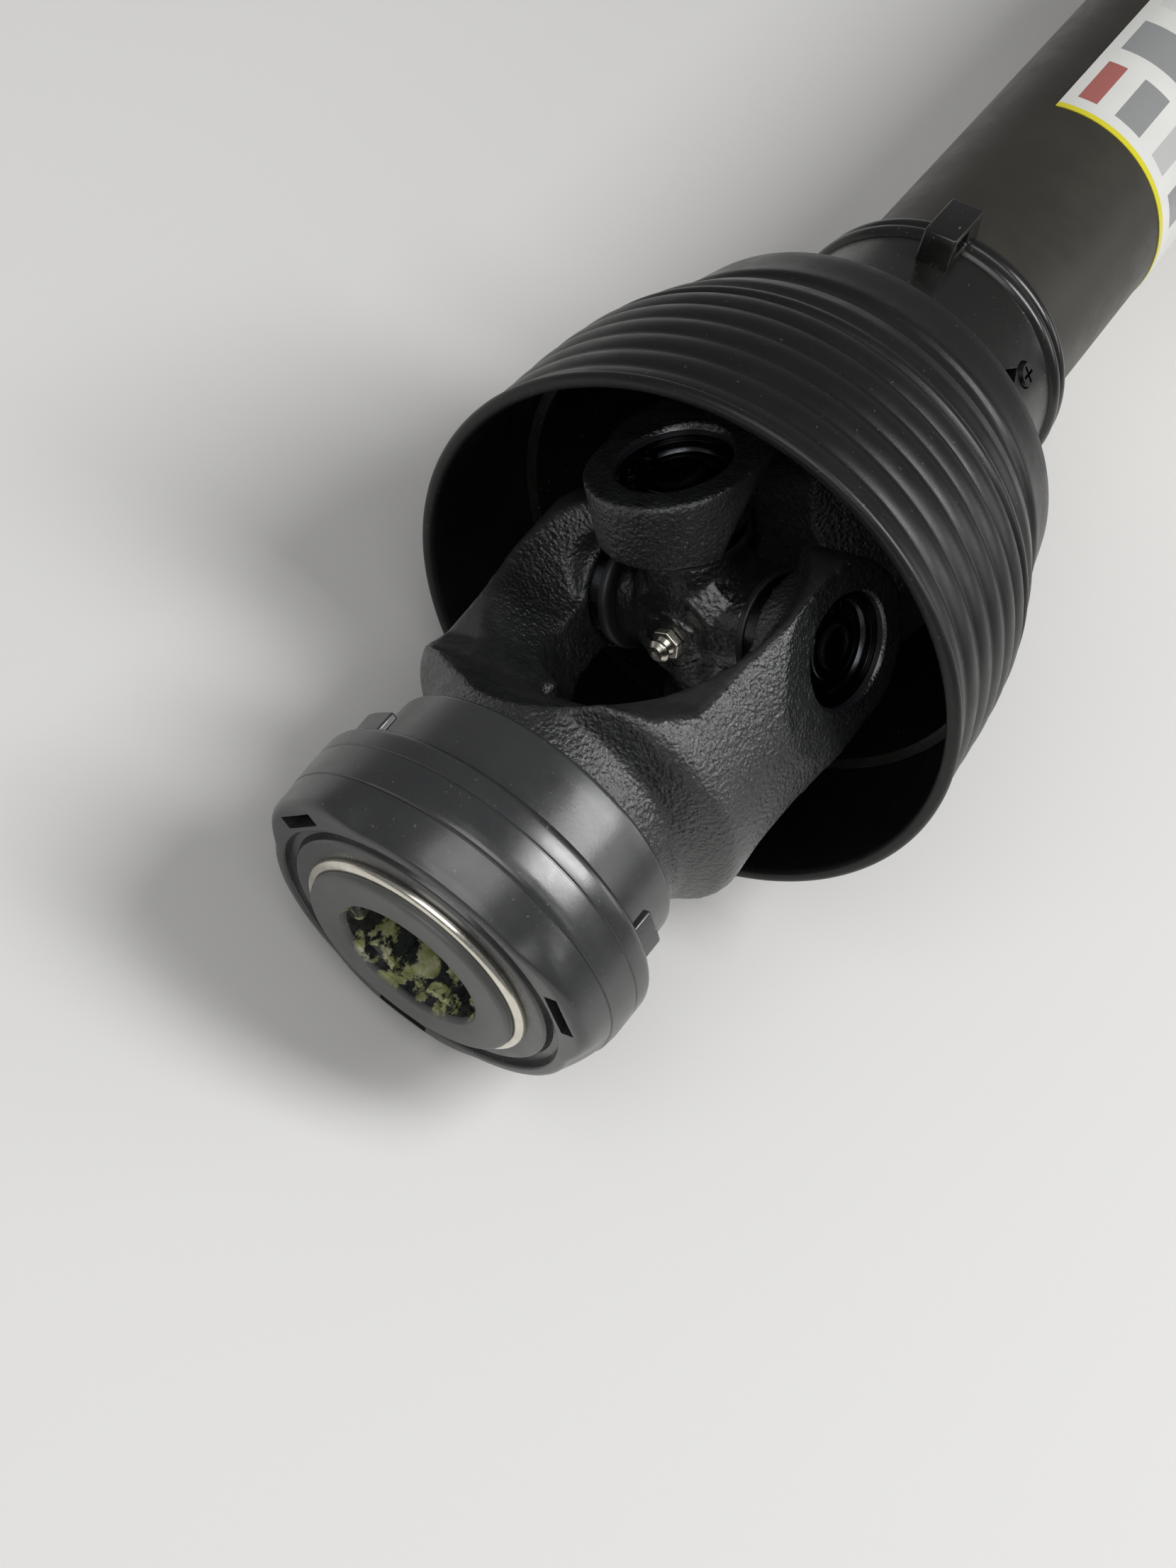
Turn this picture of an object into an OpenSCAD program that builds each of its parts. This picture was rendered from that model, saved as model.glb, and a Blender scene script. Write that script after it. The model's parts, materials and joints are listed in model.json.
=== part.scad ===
/* [Whole shaft] */
// Distance between the two joint centres
cross_span = 660; // [640:1:760]
// Roll of the shaft about its own axis, as it lies
shaft_roll = 40.5; // [0:0.5:45]

/* [Splined bore] */
// Diameter over the spline roots in the hub
spline_root_d = 35; // [34:0.1:36]
// Diameter inside the spline teeth
spline_tip_d = 29.9; // [29.5:0.1:30.6]
// Width of one spline groove
spline_w = 8.8; // [8.6:0.1:9.2]
// Number of spline grooves
spline_n = 6; // [6:1:6]
// Diameter of the chamfered mouth
bore_mouth_d = 37; // [36:0.5:40]

/* [Yokes] */
// Distance between the outer faces of the two ears
ear_span = 82; // [80:0.5:86]
// Thickness of one ear
ear_t = 16.5; // [15:0.5:17.5]
// Diameter of the rounded ear
ear_d = 42; // [40:0.5:44]
// Radius of the forged arms about the shaft axis
arm_r = 43.5; // [43:0.1:45]
// Depth of the crotch from the joint centre
crotch_depth = 39; // [36:0.5:42]
// Distance from the joint centre to the end of the arms
arm_len = 54; // [52:0.5:56]
// Diameter of the neck behind the arms
neck_d = 69; // [66:0.5:69.6]
// Distance from the joint centre to the hub face
hub_len = 113.6; // [112:0.2:120]
// Diameter of the splined hub
hub_d = 54; // [52:0.5:56]

/* [Cross and bearings] */
// Diameter of the bearing cups
cup_d = 27; // [26:0.1:28]
// Length over two opposite cups
cup_span = 74.6; // [73:0.1:76]
// Length of one cup
cup_len = 15.6; // [14:0.1:16.5]
// Diameter of the trunnions
trunnion_d = 15.8; // [15:0.1:16.4]
// Diameter of a needle roller
needle_d = 3; // [2.6:0.1:3.2]
// Needle rollers in one cup
needle_n = 19; // [12:1:19]

/* [Quick release collar] */
// Diameter of the wide bands of the collar
collar_d = 88.8; // [87:0.2:90]
// Radius of the three lobes from the axis
lobe_r = 44.3; // [43.5:0.1:45]
// How far the hub stands out of the collar
hub_proud = 4.1; // [3.5:0.1:5]
// Length of the wide bands of the collar
bands_len = 25; // [24:0.5:27]
// Outer diameter of the rear sleeve
sleeve_d = 75; // [74:0.5:76]
// Distance from the joint centre to the rear end of the sleeve
sleeve_back = 67.5; // [67:0.5:70]
// Pull of the collar to let go
collar_travel = 6.5; // [4:0.5:7]
// Diameter of the lock balls
ball_d = 11; // [10.4:0.1:11.4]
// Wire diameter of the retaining ring
ring_wire = 3; // [2.6:0.1:3.2]

/* [Drive tubes] */
// Radius to the flats of the outer drive tube
outer_flat_r = 21; // [20.5:0.1:21.5]
// Radius to the rounded corners of the outer drive tube
outer_tip_r = 25; // [24.5:0.1:25.5]
// Wall of the drive tubes
drive_wall = 4; // [3.5:0.1:4.5]
// Sliding gap between the two drive tubes
drive_gap = 0.3; // [0.2:0.05:0.6]
// Room between a drive tube and the far shaft yoke
drive_room = 39.5; // [35:0.5:60]

/* [Guard] */
// Diameter of the cone mouth
cone_mouth_d = 140; // [138:0.5:150]
// Wall of the soft cone
cone_wall = 2.4; // [2:0.1:2.8]
// Reach of the cone mouth past the joint centre
mouth_reach = 13.8; // [12:0.1:16]
// Height of the ribs on the cone
rib_h = 1; // [0.6:0.1:1.4]
// Spacing of the ribs on the cone
rib_pitch = 7.75; // [7:0.05:8]
// Number of narrow ribs
rib_n = 6; // [3:1:6]
// Wall of the rigid base
base_wall = 2.4; // [2:0.1:3]
// Outer diameter of the outer guard tube
guard_outer_d = 64; // [62:0.5:66]
// Outer diameter of the inner guard tube
guard_inner_d = 57; // [55:0.5:58]
// Wall of the guard tubes
guard_wall = 2.2; // [1.8:0.1:2.6]
// Room between the outer guard tube and the far base
guard_outer_room = 53.75; // [45:0.25:80]
// Room between the inner guard tube and the far stop
guard_inner_room = 111.55; // [90:0.05:140]
// Bare length of the guard tube behind the label
label_room = 135.2; // [100:0.2:200]

/* [Hidden] */
$fn = 96;

// Clearances
slide_gap = 0.15;
fit_gap = 0.03;
seat_gap = 0.05;
skin_gap = 0.3;
eps = 0.01;

// Where the joint centres lie
mouth_r = cone_mouth_d / 2;
joint_x = cross_span / 2;
collar_front = hub_len - hub_proud;
collar_back = collar_front - bands_len;

// Bend of each joint: the coupling droops until a lobe of its collar lies on the floor
front_round = 3;
lobe_front = collar_front - slide_gap * 2;
touch_s = lobe_front - front_round;
touch_r = lobe_r - front_round;
touch_a = sqrt(touch_s * touch_s + touch_r * touch_r);
bend = asin((mouth_r - front_round) / touch_a) - atan2(touch_r, touch_s);
droop = -asin(sin(bend) * cos(shaft_roll));
yaw = -atan(tan(bend) * sin(shaft_roll));

// Yoke sizes
ear_out = ear_span / 2;
ear_in = ear_out - ear_t;
ear_r = ear_d / 2;
shoulder_r = sqrt(ear_out * ear_out + ear_r * ear_r) + 0.4;
arm_round = 5.5;
arm_sweep = 70;
neck_r = neck_d / 2;
hub_r = hub_d / 2;
relief_c = 12;
relief_slope = 0.92;
relief_x = 8;
relief_r = crotch_depth - relief_c;
relief_out = 40;
slot_round = 16;
flank_foot = 27;
cup_bore_r = cup_d / 2;
cup_out = cup_span / 2;
clip_t = 1.5;
clip_depth = 0.8;
pin_r = 5;

// Cross sizes
cup_in = cup_out - cup_len;
cup_floor = 3;
cup_edge = 0.6;
cup_press = 1.1;
cup_ring_r = cup_bore_r * 0.84;
cup_boss_r = cup_bore_r * 0.58;
cup_dish_r = cup_bore_r * 0.4;
race_r = trunnion_d / 2 + needle_d;
needle_c = trunnion_d / 2 + needle_d / 2;
needle_len = cup_len - cup_floor - 1.6;
trunnion_r = trunnion_d / 2;
seal_t = 2.4;
seal_r = cup_bore_r + 0.8;
seal_in = cup_in - seal_t;
core_r = 18.5;
core_half = 11;
core_crown = 1;
arm_base_r = 12.8;
arm_tip_r = 11.4;
pad_af = 13;
pad_h = 1.5;
pad_top = core_half + core_crown + pad_h;
nipple_hex_af = 7;
nipple_hex_h = 2.2;
nipple_r = 2.5;
nipple_root = 5;
nipple_ease = 0.12;

// Collar and hub sizes
mouth_depth = 3;
mouth_chamfer = 1.2;
spring_wire = 2.4;
spring_turns = 3.4;
spring_seat = arm_len + 14.5;
spring_stop = collar_front - 23;
spring_r = (hub_r + neck_r - 2.2) / 2;
land_front = collar_front - 4;
ball_z = collar_front - 15.5;
ball_lift = 2;
ball_rest_r = spline_tip_d / 2 + 0.45 + ball_d / 2;
recess_r = ball_rest_r + ball_d / 2 + ball_lift + 0.5;
ball_hole_r = ball_d / 2 + 0.15;
ball_lip_r = 4.7;
ball_lip = ball_rest_r - sqrt(pow(ball_d / 2, 2) - pow(ball_lip_r, 2)) - seat_gap;
ball_a0 = 86;
lobe_a0 = 26;
lobe_w = 27;
collar_r = collar_d / 2;
sleeve_r = sleeve_d / 2;
sleeve_in = neck_r + slide_gap + 0.1;
collar_bore_r = hub_r + slide_gap;
lip_r = 34;
trough_r = 37;
trough_depth = 6;
lobe_in = trough_r + 0.8;
lobe_ease = 0.2;
lobe_back = collar_front - 13;
crown_z = collar_front - 16.5;
crown_round = 26;
rim_edge = 1.2;
band_1 = collar_front - 10.3;
band_2 = collar_front - 19;
band_step = 0.5;
band_round = 3;
window_w = 13;
window_in = 38.2;
window_h = 3.2;
window_deep = 16;
slot_h = 1.4;
tab_back = 70.5;
tab_in = window_in + slot_h + 0.9;
tab_top = tab_in + 1.8;
tab_half = window_w / 2 + 1.5;
tab_round = 3;
tab_edge = 0.8;
ring_z = collar_front + 0.7;
ring_groove_r = hub_r + 2.2 - ring_wire;
ring_mid_r = ring_groove_r + ring_wire / 2;

// Drive tube sizes
inner_flat_r = outer_flat_r - drive_wall - drive_gap;
inner_tip_r = outer_tip_r - drive_wall - drive_gap;
side_round = 70;
socket_floor = 56;
socket_len = 38;
tube_seat = socket_floor + 0.5;
shaft_hub_len = socket_floor + socket_len;
shaft_hub_r = 30.5;
roll_pin_z = 70;
bearing_z = 84;
bearing_w = 7;
bearing_depth = 3;
drive_len = cross_span - tube_seat - shaft_hub_len - drive_room;

// Guard sizes
base_front = 24;
cone_back = 72;
cone_back_r = 57;
rib_first = -9.5;
rim_t = 3.2;
step_1 = 36;
step_2 = 52;
band_r = 37.2;
bead_r = 2.5;
bead_1 = 115.6;
bead_2 = 120.2;
bead_top = 38;
base_back = 124;
stop_t = 1.6;
guard_stop = shaft_hub_len + 0.6 + stop_t;
guard_seat = guard_stop + seat_gap;
guard_outer_len = cross_span - guard_seat - base_back - guard_outer_room;
guard_inner_len = cross_span - guard_seat - guard_stop - guard_inner_room;
screw_r = 1.6;
screw_hole_r = 1.7;
screw_head_r = 3.4;
screw_sink = 1.4;
bearing_race = band_r - base_wall - 0.4;
bead_start = -70;
bead_end = 70;
lug_a = -19.5;
lug_w = 9;
lug_front = 97;
lug_top = 45;
lug_hole = 5;
screw_a0 = 98;
screw_z = 101.5;
peg_r = 1.3;
peg_z = 31;
label_front = 197;
label_len = guard_outer_len - (label_front - guard_stop) - label_room;
label_t = 0.25;
label_wrap = 250;
label_a0 = 150;

// Frames
module at_end(side) {
    mirror([side == "b" ? 1 : 0, 0, 0]) translate([-joint_x, 0, mouth_r]) children();
}

module as_rolled() {
    rotate([-shaft_roll, 0, 0]) children();
}

module along_shaft() {
    rotate([0, 90, 0]) children();
}

module on_shaft_yoke(side) {
    at_end(side) as_rolled() along_shaft() rotate([0, 0, 90]) children();
}

module on_cross(side) {
    at_end(side) as_rolled() rotate([0, 0, yaw]) rotate([0, -90, 0]) children();
}

module on_coupling(side) {
    at_end(side) as_rolled() rotate([0, 0, yaw]) rotate([0, droop, 0]) rotate([0, -90, 0]) children();
}

module on_guard(side) {
    at_end(side) along_shaft() children();
}

// Points on an arc
function arc_points(cx, cy, r, a0, a1, n) =
    [for (i = [0:n]) let (a = a0 + (a1 - a0) * i / n) [cx + r * cos(a), cy + r * sin(a)]];

// Forged yoke: arms round about the axis, rounded ears, relieved crotch
module arm_revolve(top) {
    corner = arc_points(arm_r - arm_round, arm_len - arm_round + 2, arm_round, 0, arm_sweep, 6);
    rotate_extrude() polygon(concat(
        [[0, -ear_r - 1], [shoulder_r, -ear_r - 1], [shoulder_r, 8], [arm_r + 0.6, 28], [arm_r, 40]],
        corner,
        [[neck_r, arm_len + 5.5], [neck_r, top], [0, top]]));
}

module ear_slab(top) {
    rotate([90, 0, 90]) linear_extrude(height = 2 * shoulder_r + 2, center = true) polygon([
        [-ear_out, -ear_r - 2], [ear_out, -ear_r - 2], [ear_out, 10], [shoulder_r + 1, 46],
        [shoulder_r + 1, top + 1], [-shoulder_r - 1, top + 1], [-shoulder_r - 1, 46], [-ear_out, 10]]);
}

module ear_side(top) {
    rotate([90, 0, 0]) linear_extrude(height = 2 * shoulder_r + 4, center = true) {
        circle(ear_r);
        polygon([[-ear_r, 0], [ear_r, 0], [ear_r + 0.5, arm_len - 12], [flank_foot, arm_len - 3],
            [neck_r, arm_len + 3], [neck_r, top + 1], [-neck_r, top + 1], [-neck_r, arm_len + 3],
            [-flank_foot, arm_len - 3], [-ear_r - 0.5, arm_len - 12]]);
    }
}

module crotch_cut() {
    slot_in = slot_round - 0.5;
    rotate([90, 0, 90]) linear_extrude(height = 2 * shoulder_r + 4, center = true) union() {
        translate([-ear_in, -ear_r - 3]) square([2 * ear_in, ear_r + 3 + crotch_depth - slot_round]);
        translate([-ear_in + slot_round, 0]) square([2 * (ear_in - slot_round), crotch_depth]);
        for (s = [-1, 1])
            translate([s * (ear_in - slot_round), crotch_depth - slot_round]) circle(slot_round);
    }
    for (s = [-1, 1])
        translate([0, 0, relief_c]) rotate([0, s * 90, 0]) translate([0, 0, relief_x])
            cylinder(h = relief_out, r1 = relief_r, r2 = relief_r + relief_out * relief_slope);
}

module ear_bores() {
    rotate([90, 0, 0]) cylinder(h = 2 * shoulder_r + 2, r = cup_bore_r + fit_gap, center = true);
    for (s = [-1, 1])
        rotate([-s * 90, 0, 0]) translate([0, 0, cup_out + seat_gap])
            cylinder(h = clip_t + 2 * seat_gap, r = cup_bore_r + clip_depth + 0.1);
}

module yoke_head(top) {
    difference() {
        intersection() {
            arm_revolve(top);
            ear_slab(top);
            ear_side(top);
        }
        crotch_cut();
        ear_bores();
    }
}

// Coupling yoke with the splined hub
module spline_bore() {
    cylinder(h = hub_len + 1, d = spline_tip_d);
    intersection() {
        cylinder(h = hub_len + 1, d = spline_root_d);
        for (i = [0:spline_n - 1])
            rotate([0, 0, ball_a0 + 360 * i / spline_n]) translate([0, -spline_w / 2, 0])
                cube([spline_root_d, spline_w, hub_len + 1]);
    }
    translate([0, 0, hub_len - mouth_depth]) cylinder(h = mouth_depth + 1, d = spline_root_d);
}

module clutch_yoke() {
    difference() {
        union() {
            yoke_head(spring_seat);
            translate([0, 0, spring_seat - 1]) cylinder(h = hub_len - spring_seat + 1, r = hub_r);
        }
        spline_bore();
        translate([0, 0, hub_len - mouth_chamfer])
            cylinder(h = mouth_chamfer + eps, d1 = spline_root_d, d2 = bore_mouth_d);
        for (i = [0:2]) rotate([0, 0, ball_a0 + 120 * i]) translate([0, 0, ball_z]) rotate([0, 90, 0]) {
            translate([0, 0, ball_lip]) cylinder(h = hub_r, r = ball_hole_r);
            cylinder(h = hub_r, r = ball_lip_r);
        }
        translate([0, 0, ring_z]) rotate_extrude()
            translate([ring_mid_r, 0]) circle(r = ring_wire / 2 + fit_gap, $fn = 32);
    }
}

// Collar: wide bands with a crowned front, three lobes, a recess, windows and rear tabs
function crown(z) = collar_r - pow(z - crown_z, 2) / (2 * crown_round);

module collar_revolve() {
    rim_z = collar_front - rim_edge;
    rim = [for (i = [0:6]) let (z = rim_z + (band_1 + band_step - rim_z) * i / 6) [crown(z), z]];
    rear = arc_points(collar_r - band_round, collar_back + band_round, band_round, 0, -90, 5);
    tail = arc_points(sleeve_r - 1.4, sleeve_back + 1.4, 1.4, 0, -90, 4);
    rotate_extrude() polygon(concat(
        [[collar_bore_r, spring_stop], [collar_bore_r, ball_z + 1.5], [recess_r, ball_z + 3.5],
            [recess_r, land_front - 1.5], [collar_bore_r, land_front], [collar_bore_r, collar_front - 1.4],
            [lip_r - 3.4, collar_front], [lip_r, collar_front], [lip_r + 0.4, collar_front - trough_depth],
            [trough_r - 0.6, collar_front - trough_depth], [trough_r, collar_front - 0.6],
            [trough_r + 0.5, collar_front], [crown(rim_z) - rim_edge, collar_front]],
        rim,
        [[crown(band_1) - band_step, band_1 + band_step / 2], [crown(band_1) - band_step, band_1],
            [crown(band_1), band_1], [collar_r - band_step / 5, crown_z],
            [collar_r - band_step / 5, band_2 + band_step], [collar_r - band_step, band_2 + band_step / 2],
            [collar_r - band_step, band_2], [collar_r, band_2]],
        rear,
        [[sleeve_r + 1, collar_back]],
        tail,
        [[sleeve_in, sleeve_back], [sleeve_in, spring_stop]]));
}

module lobe_outline() {
    intersection() {
        translate([lobe_r - lobe_w, 0]) circle(lobe_w);
        translate([sleeve_r - 2, -lobe_w]) square([lobe_w, 2 * lobe_w]);
    }
}

module collar_lobe() {
    edge_r = lobe_r + lobe_ease;
    front = arc_points(edge_r - front_round, lobe_front - front_round, front_round, 90, 0, 8);
    intersection() {
        translate([0, 0, lobe_back]) linear_extrude(height = collar_front - lobe_back) lobe_outline();
        rotate_extrude() polygon(concat([[lobe_in, lobe_back + eps], [lobe_in, lobe_front]], front,
            [[edge_r, lobe_back + eps]]));
    }
}

module collar_tab() {
    root = collar_back + band_round;
    end_1 = arc_points(-tab_back - tab_round, tab_half - tab_round, tab_round, 90, 0, 5);
    end_2 = arc_points(-tab_back - tab_round, tab_round - tab_half, tab_round, 0, -90, 5);
    intersection() {
        rotate_extrude() polygon([[tab_in, tab_back - 1], [tab_top - tab_edge, tab_back - 1],
            [tab_top, tab_back + tab_edge], [tab_top, root], [tab_in, root]]);
        rotate([0, 90, 0]) translate([0, 0, window_in]) linear_extrude(height = tab_top - window_in + 1)
            polygon(concat([[-root - 1, tab_half]], end_1, end_2, [[-root - 1, -tab_half]]));
    }
}

module collar() {
    slot_back = collar_back - 1;
    difference() {
        union() {
            collar_revolve();
            for (i = [0:2]) rotate([0, 0, lobe_a0 + 120 * i]) {
                collar_lobe();
                collar_tab();
            }
        }
        for (i = [0:2]) rotate([0, 0, lobe_a0 + 120 * i]) {
            translate([window_in, -window_w / 2, collar_front - window_deep])
                cube([window_h, window_w, window_deep + 1]);
            translate([window_in, -window_w / 2, slot_back])
                cube([slot_h, window_w, collar_front - window_deep - slot_back + 1]);
        }
    }
}

module collar_ring() {
    translate([0, 0, ring_z]) rotate([0, 0, 184]) rotate_extrude(angle = 352)
        translate([ring_mid_r, 0]) circle(r = ring_wire / 2, $fn = 32);
}

function coil_point(t) = [
    spring_r * cos(360 * spring_turns * t),
    spring_r * sin(360 * spring_turns * t),
    spring_seat + spring_wire / 2 + 0.2
        + (spring_stop - spring_seat - spring_wire - 0.4) * min(max((t - 0.12) / 0.76, 0), 1)];

module collar_spring() {
    steps = 84;
    sides = 8;
    points = [for (i = [0:steps]) let (t = i / steps, p = coil_point(t), a = 360 * spring_turns * t)
        for (k = [0:sides - 1]) let (b = 360 * k / sides)
            [p[0] + spring_wire / 2 * cos(b) * cos(a), p[1] + spring_wire / 2 * cos(b) * sin(a),
                p[2] + spring_wire / 2 * sin(b)]];
    walls = [for (i = [0:steps - 1]) for (k = [0:sides - 1])
        [i * sides + k, i * sides + (k + 1) % sides, (i + 1) * sides + (k + 1) % sides, (i + 1) * sides + k]];
    first = [for (k = [0:sides - 1]) sides - 1 - k];
    last = [for (k = [0:sides - 1]) steps * sides + k];
    polyhedron(points = points, faces = concat(walls, [first, last]));
}

module lock_ball(i) {
    rotate([0, 0, ball_a0 + 120 * i]) translate([ball_rest_r, 0, ball_z]) sphere(d = ball_d);
}

// Cross with its four trunnions
module cross_bar() {
    arm_end = seal_in - 0.4;
    tip = cup_out - cup_floor - 0.4;
    rotate_extrude() polygon([
        [0, -tip], [trunnion_r - 1, -tip], [trunnion_r, -tip + 1], [trunnion_r, -arm_end],
        [arm_tip_r, -arm_end], [arm_base_r, -core_half], [arm_base_r, core_half], [arm_tip_r, arm_end],
        [trunnion_r, arm_end], [trunnion_r, tip - 1], [trunnion_r - 1, tip], [0, tip]]);
}

module cross_body() {
    difference() {
        union() {
            rotate_extrude() polygon([[0, -core_half - core_crown], [core_r - 6, -core_half - core_crown],
                [core_r - 1, -core_half + 4], [core_r, 0], [core_r - 1, core_half - 4],
                [core_r - 6, core_half + core_crown], [0, core_half + core_crown]]);
            for (a = [0, 90]) rotate([0, 0, a]) rotate([0, 90, 0]) cross_bar();
            translate([0, 0, core_half]) cylinder(h = pad_top - core_half, d = pad_af / cos(30), $fn = 6);
        }
        translate([0, 0, pad_top - nipple_root - nipple_ease])
            cylinder(h = nipple_root + 1, r = nipple_r + nipple_ease);
    }
}

module grease_nipple() {
    translate([0, 0, pad_top - nipple_root]) cylinder(h = nipple_root + 1, r = nipple_r);
    translate([0, 0, pad_top + seat_gap]) {
        cylinder(h = nipple_hex_h, d = nipple_hex_af / cos(30), $fn = 6);
        translate([0, 0, nipple_hex_h]) rotate_extrude()
            polygon([[0, 0], [2.6, 0], [1.9, 1.1], [2.6, 1.8], [2.8, 2.6], [1.9, 3.7], [0, 3.8]]);
    }
}

// What sits in the two ears of one yoke, along Y
module both_ears() {
    for (s = [-1, 1]) rotate([-s * 90, 0, 0]) children();
}

module bearing_cup() {
    rotate_extrude() polygon([
        [race_r + fit_gap, cup_in], [cup_bore_r, cup_in], [cup_bore_r, cup_out - cup_edge],
        [cup_bore_r - cup_edge, cup_out], [cup_ring_r, cup_out],
        [cup_ring_r - cup_edge, cup_out - cup_press], [cup_boss_r + cup_edge, cup_out - cup_press],
        [cup_boss_r, cup_out - cup_edge], [cup_dish_r, cup_out - cup_edge],
        [cup_dish_r - cup_edge, cup_out - cup_press], [0, cup_out - cup_press],
        [0, cup_out - cup_floor], [race_r + fit_gap, cup_out - cup_floor]]);
}

module cup_needles() {
    for (i = [0:needle_n - 1]) rotate([0, 0, 360 * i / needle_n])
        translate([needle_c + fit_gap / 2, 0, cup_in + 1])
            cylinder(h = needle_len, d = needle_d - fit_gap / 2, $fn = 16);
}

module cup_seal() {
    translate([0, 0, seal_in]) rotate_extrude() polygon([
        [trunnion_r + 0.1, 0], [seal_r - 1, 0], [seal_r, 1], [seal_r, seal_t - seat_gap],
        [trunnion_r + 0.1, seal_t - seat_gap]]);
}

module ear_circlip() {
    clip_r = cup_bore_r + clip_depth;
    translate([0, 0, cup_out + 2 * seat_gap]) difference() {
        union() {
            rotate([0, 0, 15]) rotate_extrude(angle = 330)
                translate([cup_bore_r - 2, 0]) square([2 + clip_depth, clip_t - 2 * seat_gap]);
            for (a = [20, -20]) rotate([0, 0, a]) translate([cup_bore_r - 3, 0, 0])
                cylinder(h = clip_t - 2 * seat_gap, r = 2.2);
        }
        for (a = [20, -20]) rotate([0, 0, a]) translate([cup_bore_r - 3, 0, -1])
            cylinder(h = clip_t + 2, r = 1);
    }
}

// Drive tubes of rounded triangular section
module tri_profile(flat_r, tip_r) {
    intersection() {
        circle(tip_r);
        rotate(0) translate([-(side_round - flat_r), 0]) circle(side_round, $fn = 180);
        rotate(120) translate([-(side_round - flat_r), 0]) circle(side_round, $fn = 180);
        rotate(240) translate([-(side_round - flat_r), 0]) circle(side_round, $fn = 180);
    }
}

module drive_tube(flat_r, tip_r) {
    difference() {
        translate([0, 0, tube_seat]) linear_extrude(height = drive_len) difference() {
            tri_profile(flat_r, tip_r);
            tri_profile(flat_r - drive_wall, tip_r - drive_wall);
        }
        roll_pin_hole();
    }
}

module roll_pin_hole() {
    translate([0, 0, roll_pin_z]) rotate([0, 90, 0])
        cylinder(h = 2 * shaft_hub_r + 4, r = pin_r + fit_gap, center = true);
}

module roll_pin() {
    translate([0, 0, roll_pin_z]) rotate([0, 90, 0]) difference() {
        cylinder(h = 2 * shaft_hub_r - 1, r = pin_r, center = true);
        cylinder(h = 2 * shaft_hub_r + 1, r = pin_r - 2, center = true);
        translate([-pin_r - 1, -0.5, -shaft_hub_r - 1]) cube([pin_r, 1, 2 * shaft_hub_r + 2]);
    }
}

// Shaft yoke with the socket for a drive tube
module shaft_yoke(flat_r, tip_r) {
    difference() {
        union() {
            yoke_head(arm_len + 8);
            translate([0, 0, arm_len + 7]) cylinder(h = shaft_hub_len - arm_len - 7, r = shaft_hub_r);
        }
        translate([0, 0, socket_floor]) linear_extrude(height = shaft_hub_len)
            tri_profile(flat_r + fit_gap, tip_r + fit_gap);
        roll_pin_hole();
        translate([0, 0, bearing_z]) difference() {
            cylinder(h = bearing_w + 2 * slide_gap, r = shaft_hub_r + 1);
            translate([0, 0, -1]) cylinder(h = bearing_w + 3, r = shaft_hub_r - bearing_depth);
        }
    }
}

// Guard
function cone_line(s) =
    s < 14 ? mouth_r - 1.2 - (s + mouth_reach) * 0.045
    : s < 60 ? mouth_r - 2.45 - (s - 14) * 0.075 - pow(s - 14, 2) * 0.0022
    : mouth_r - 10.55 - (s - 60) * 0.2;

function rib_wave(u) = rib_h * pow(max(sin(180 * u), 0), 0.7);

module guard_cone() {
    ribs = [for (i = [0:rib_n - 1]) for (k = [0:6])
        let (u = k / 6, s = rib_first + (i - 0.5 + u) * rib_pitch) [cone_line(s) - 0.6 + rib_wave(u), s]];
    rib_end = rib_first + (rib_n - 0.5) * rib_pitch;
    lip = arc_points(mouth_r - rim_t / 2, -mouth_reach + rim_t / 2, rim_t / 2, -90, 60, 6);
    inner = [for (s = [cone_back - 3:-5:base_front]) [cone_line(s) - cone_wall - 0.6, s]];
    rotate_extrude($fn = 144) polygon(concat(
        [[mouth_r - rim_t / 2 - 1, -mouth_reach]],
        lip,
        ribs,
        [[cone_line(rib_end) + 0.5, rib_end + 1.2], [cone_line(step_1) + 0.5, step_1 + 0.6],
            [cone_line(step_1) - 0.9, step_1 + 1.6], [cone_line(step_1 + 5) - 0.2, step_1 + 5],
            [cone_line(step_1 + 7) + 0.6, step_1 + 7], [cone_line(step_2 - 5) + 0.4, step_2 - 5],
            [cone_line(step_2) - 1.2, step_2 - 2], [cone_line(step_2 + 2) - 1, step_2 + 2],
            [cone_line(step_2 + 4) + 0.4, step_2 + 4], [cone_line(cone_back - 4) + 0.3, cone_back - 4],
            [cone_back_r, cone_back - 1], [cone_back_r - 1.2, cone_back]],
        inner,
        [[cone_line(base_front - 8) - cone_wall - 0.3, base_front - 8],
            [cone_line(0) - cone_wall - 0.3, 0], [mouth_r - rim_t - 0.6, -mouth_reach + 1]]));
}

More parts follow.
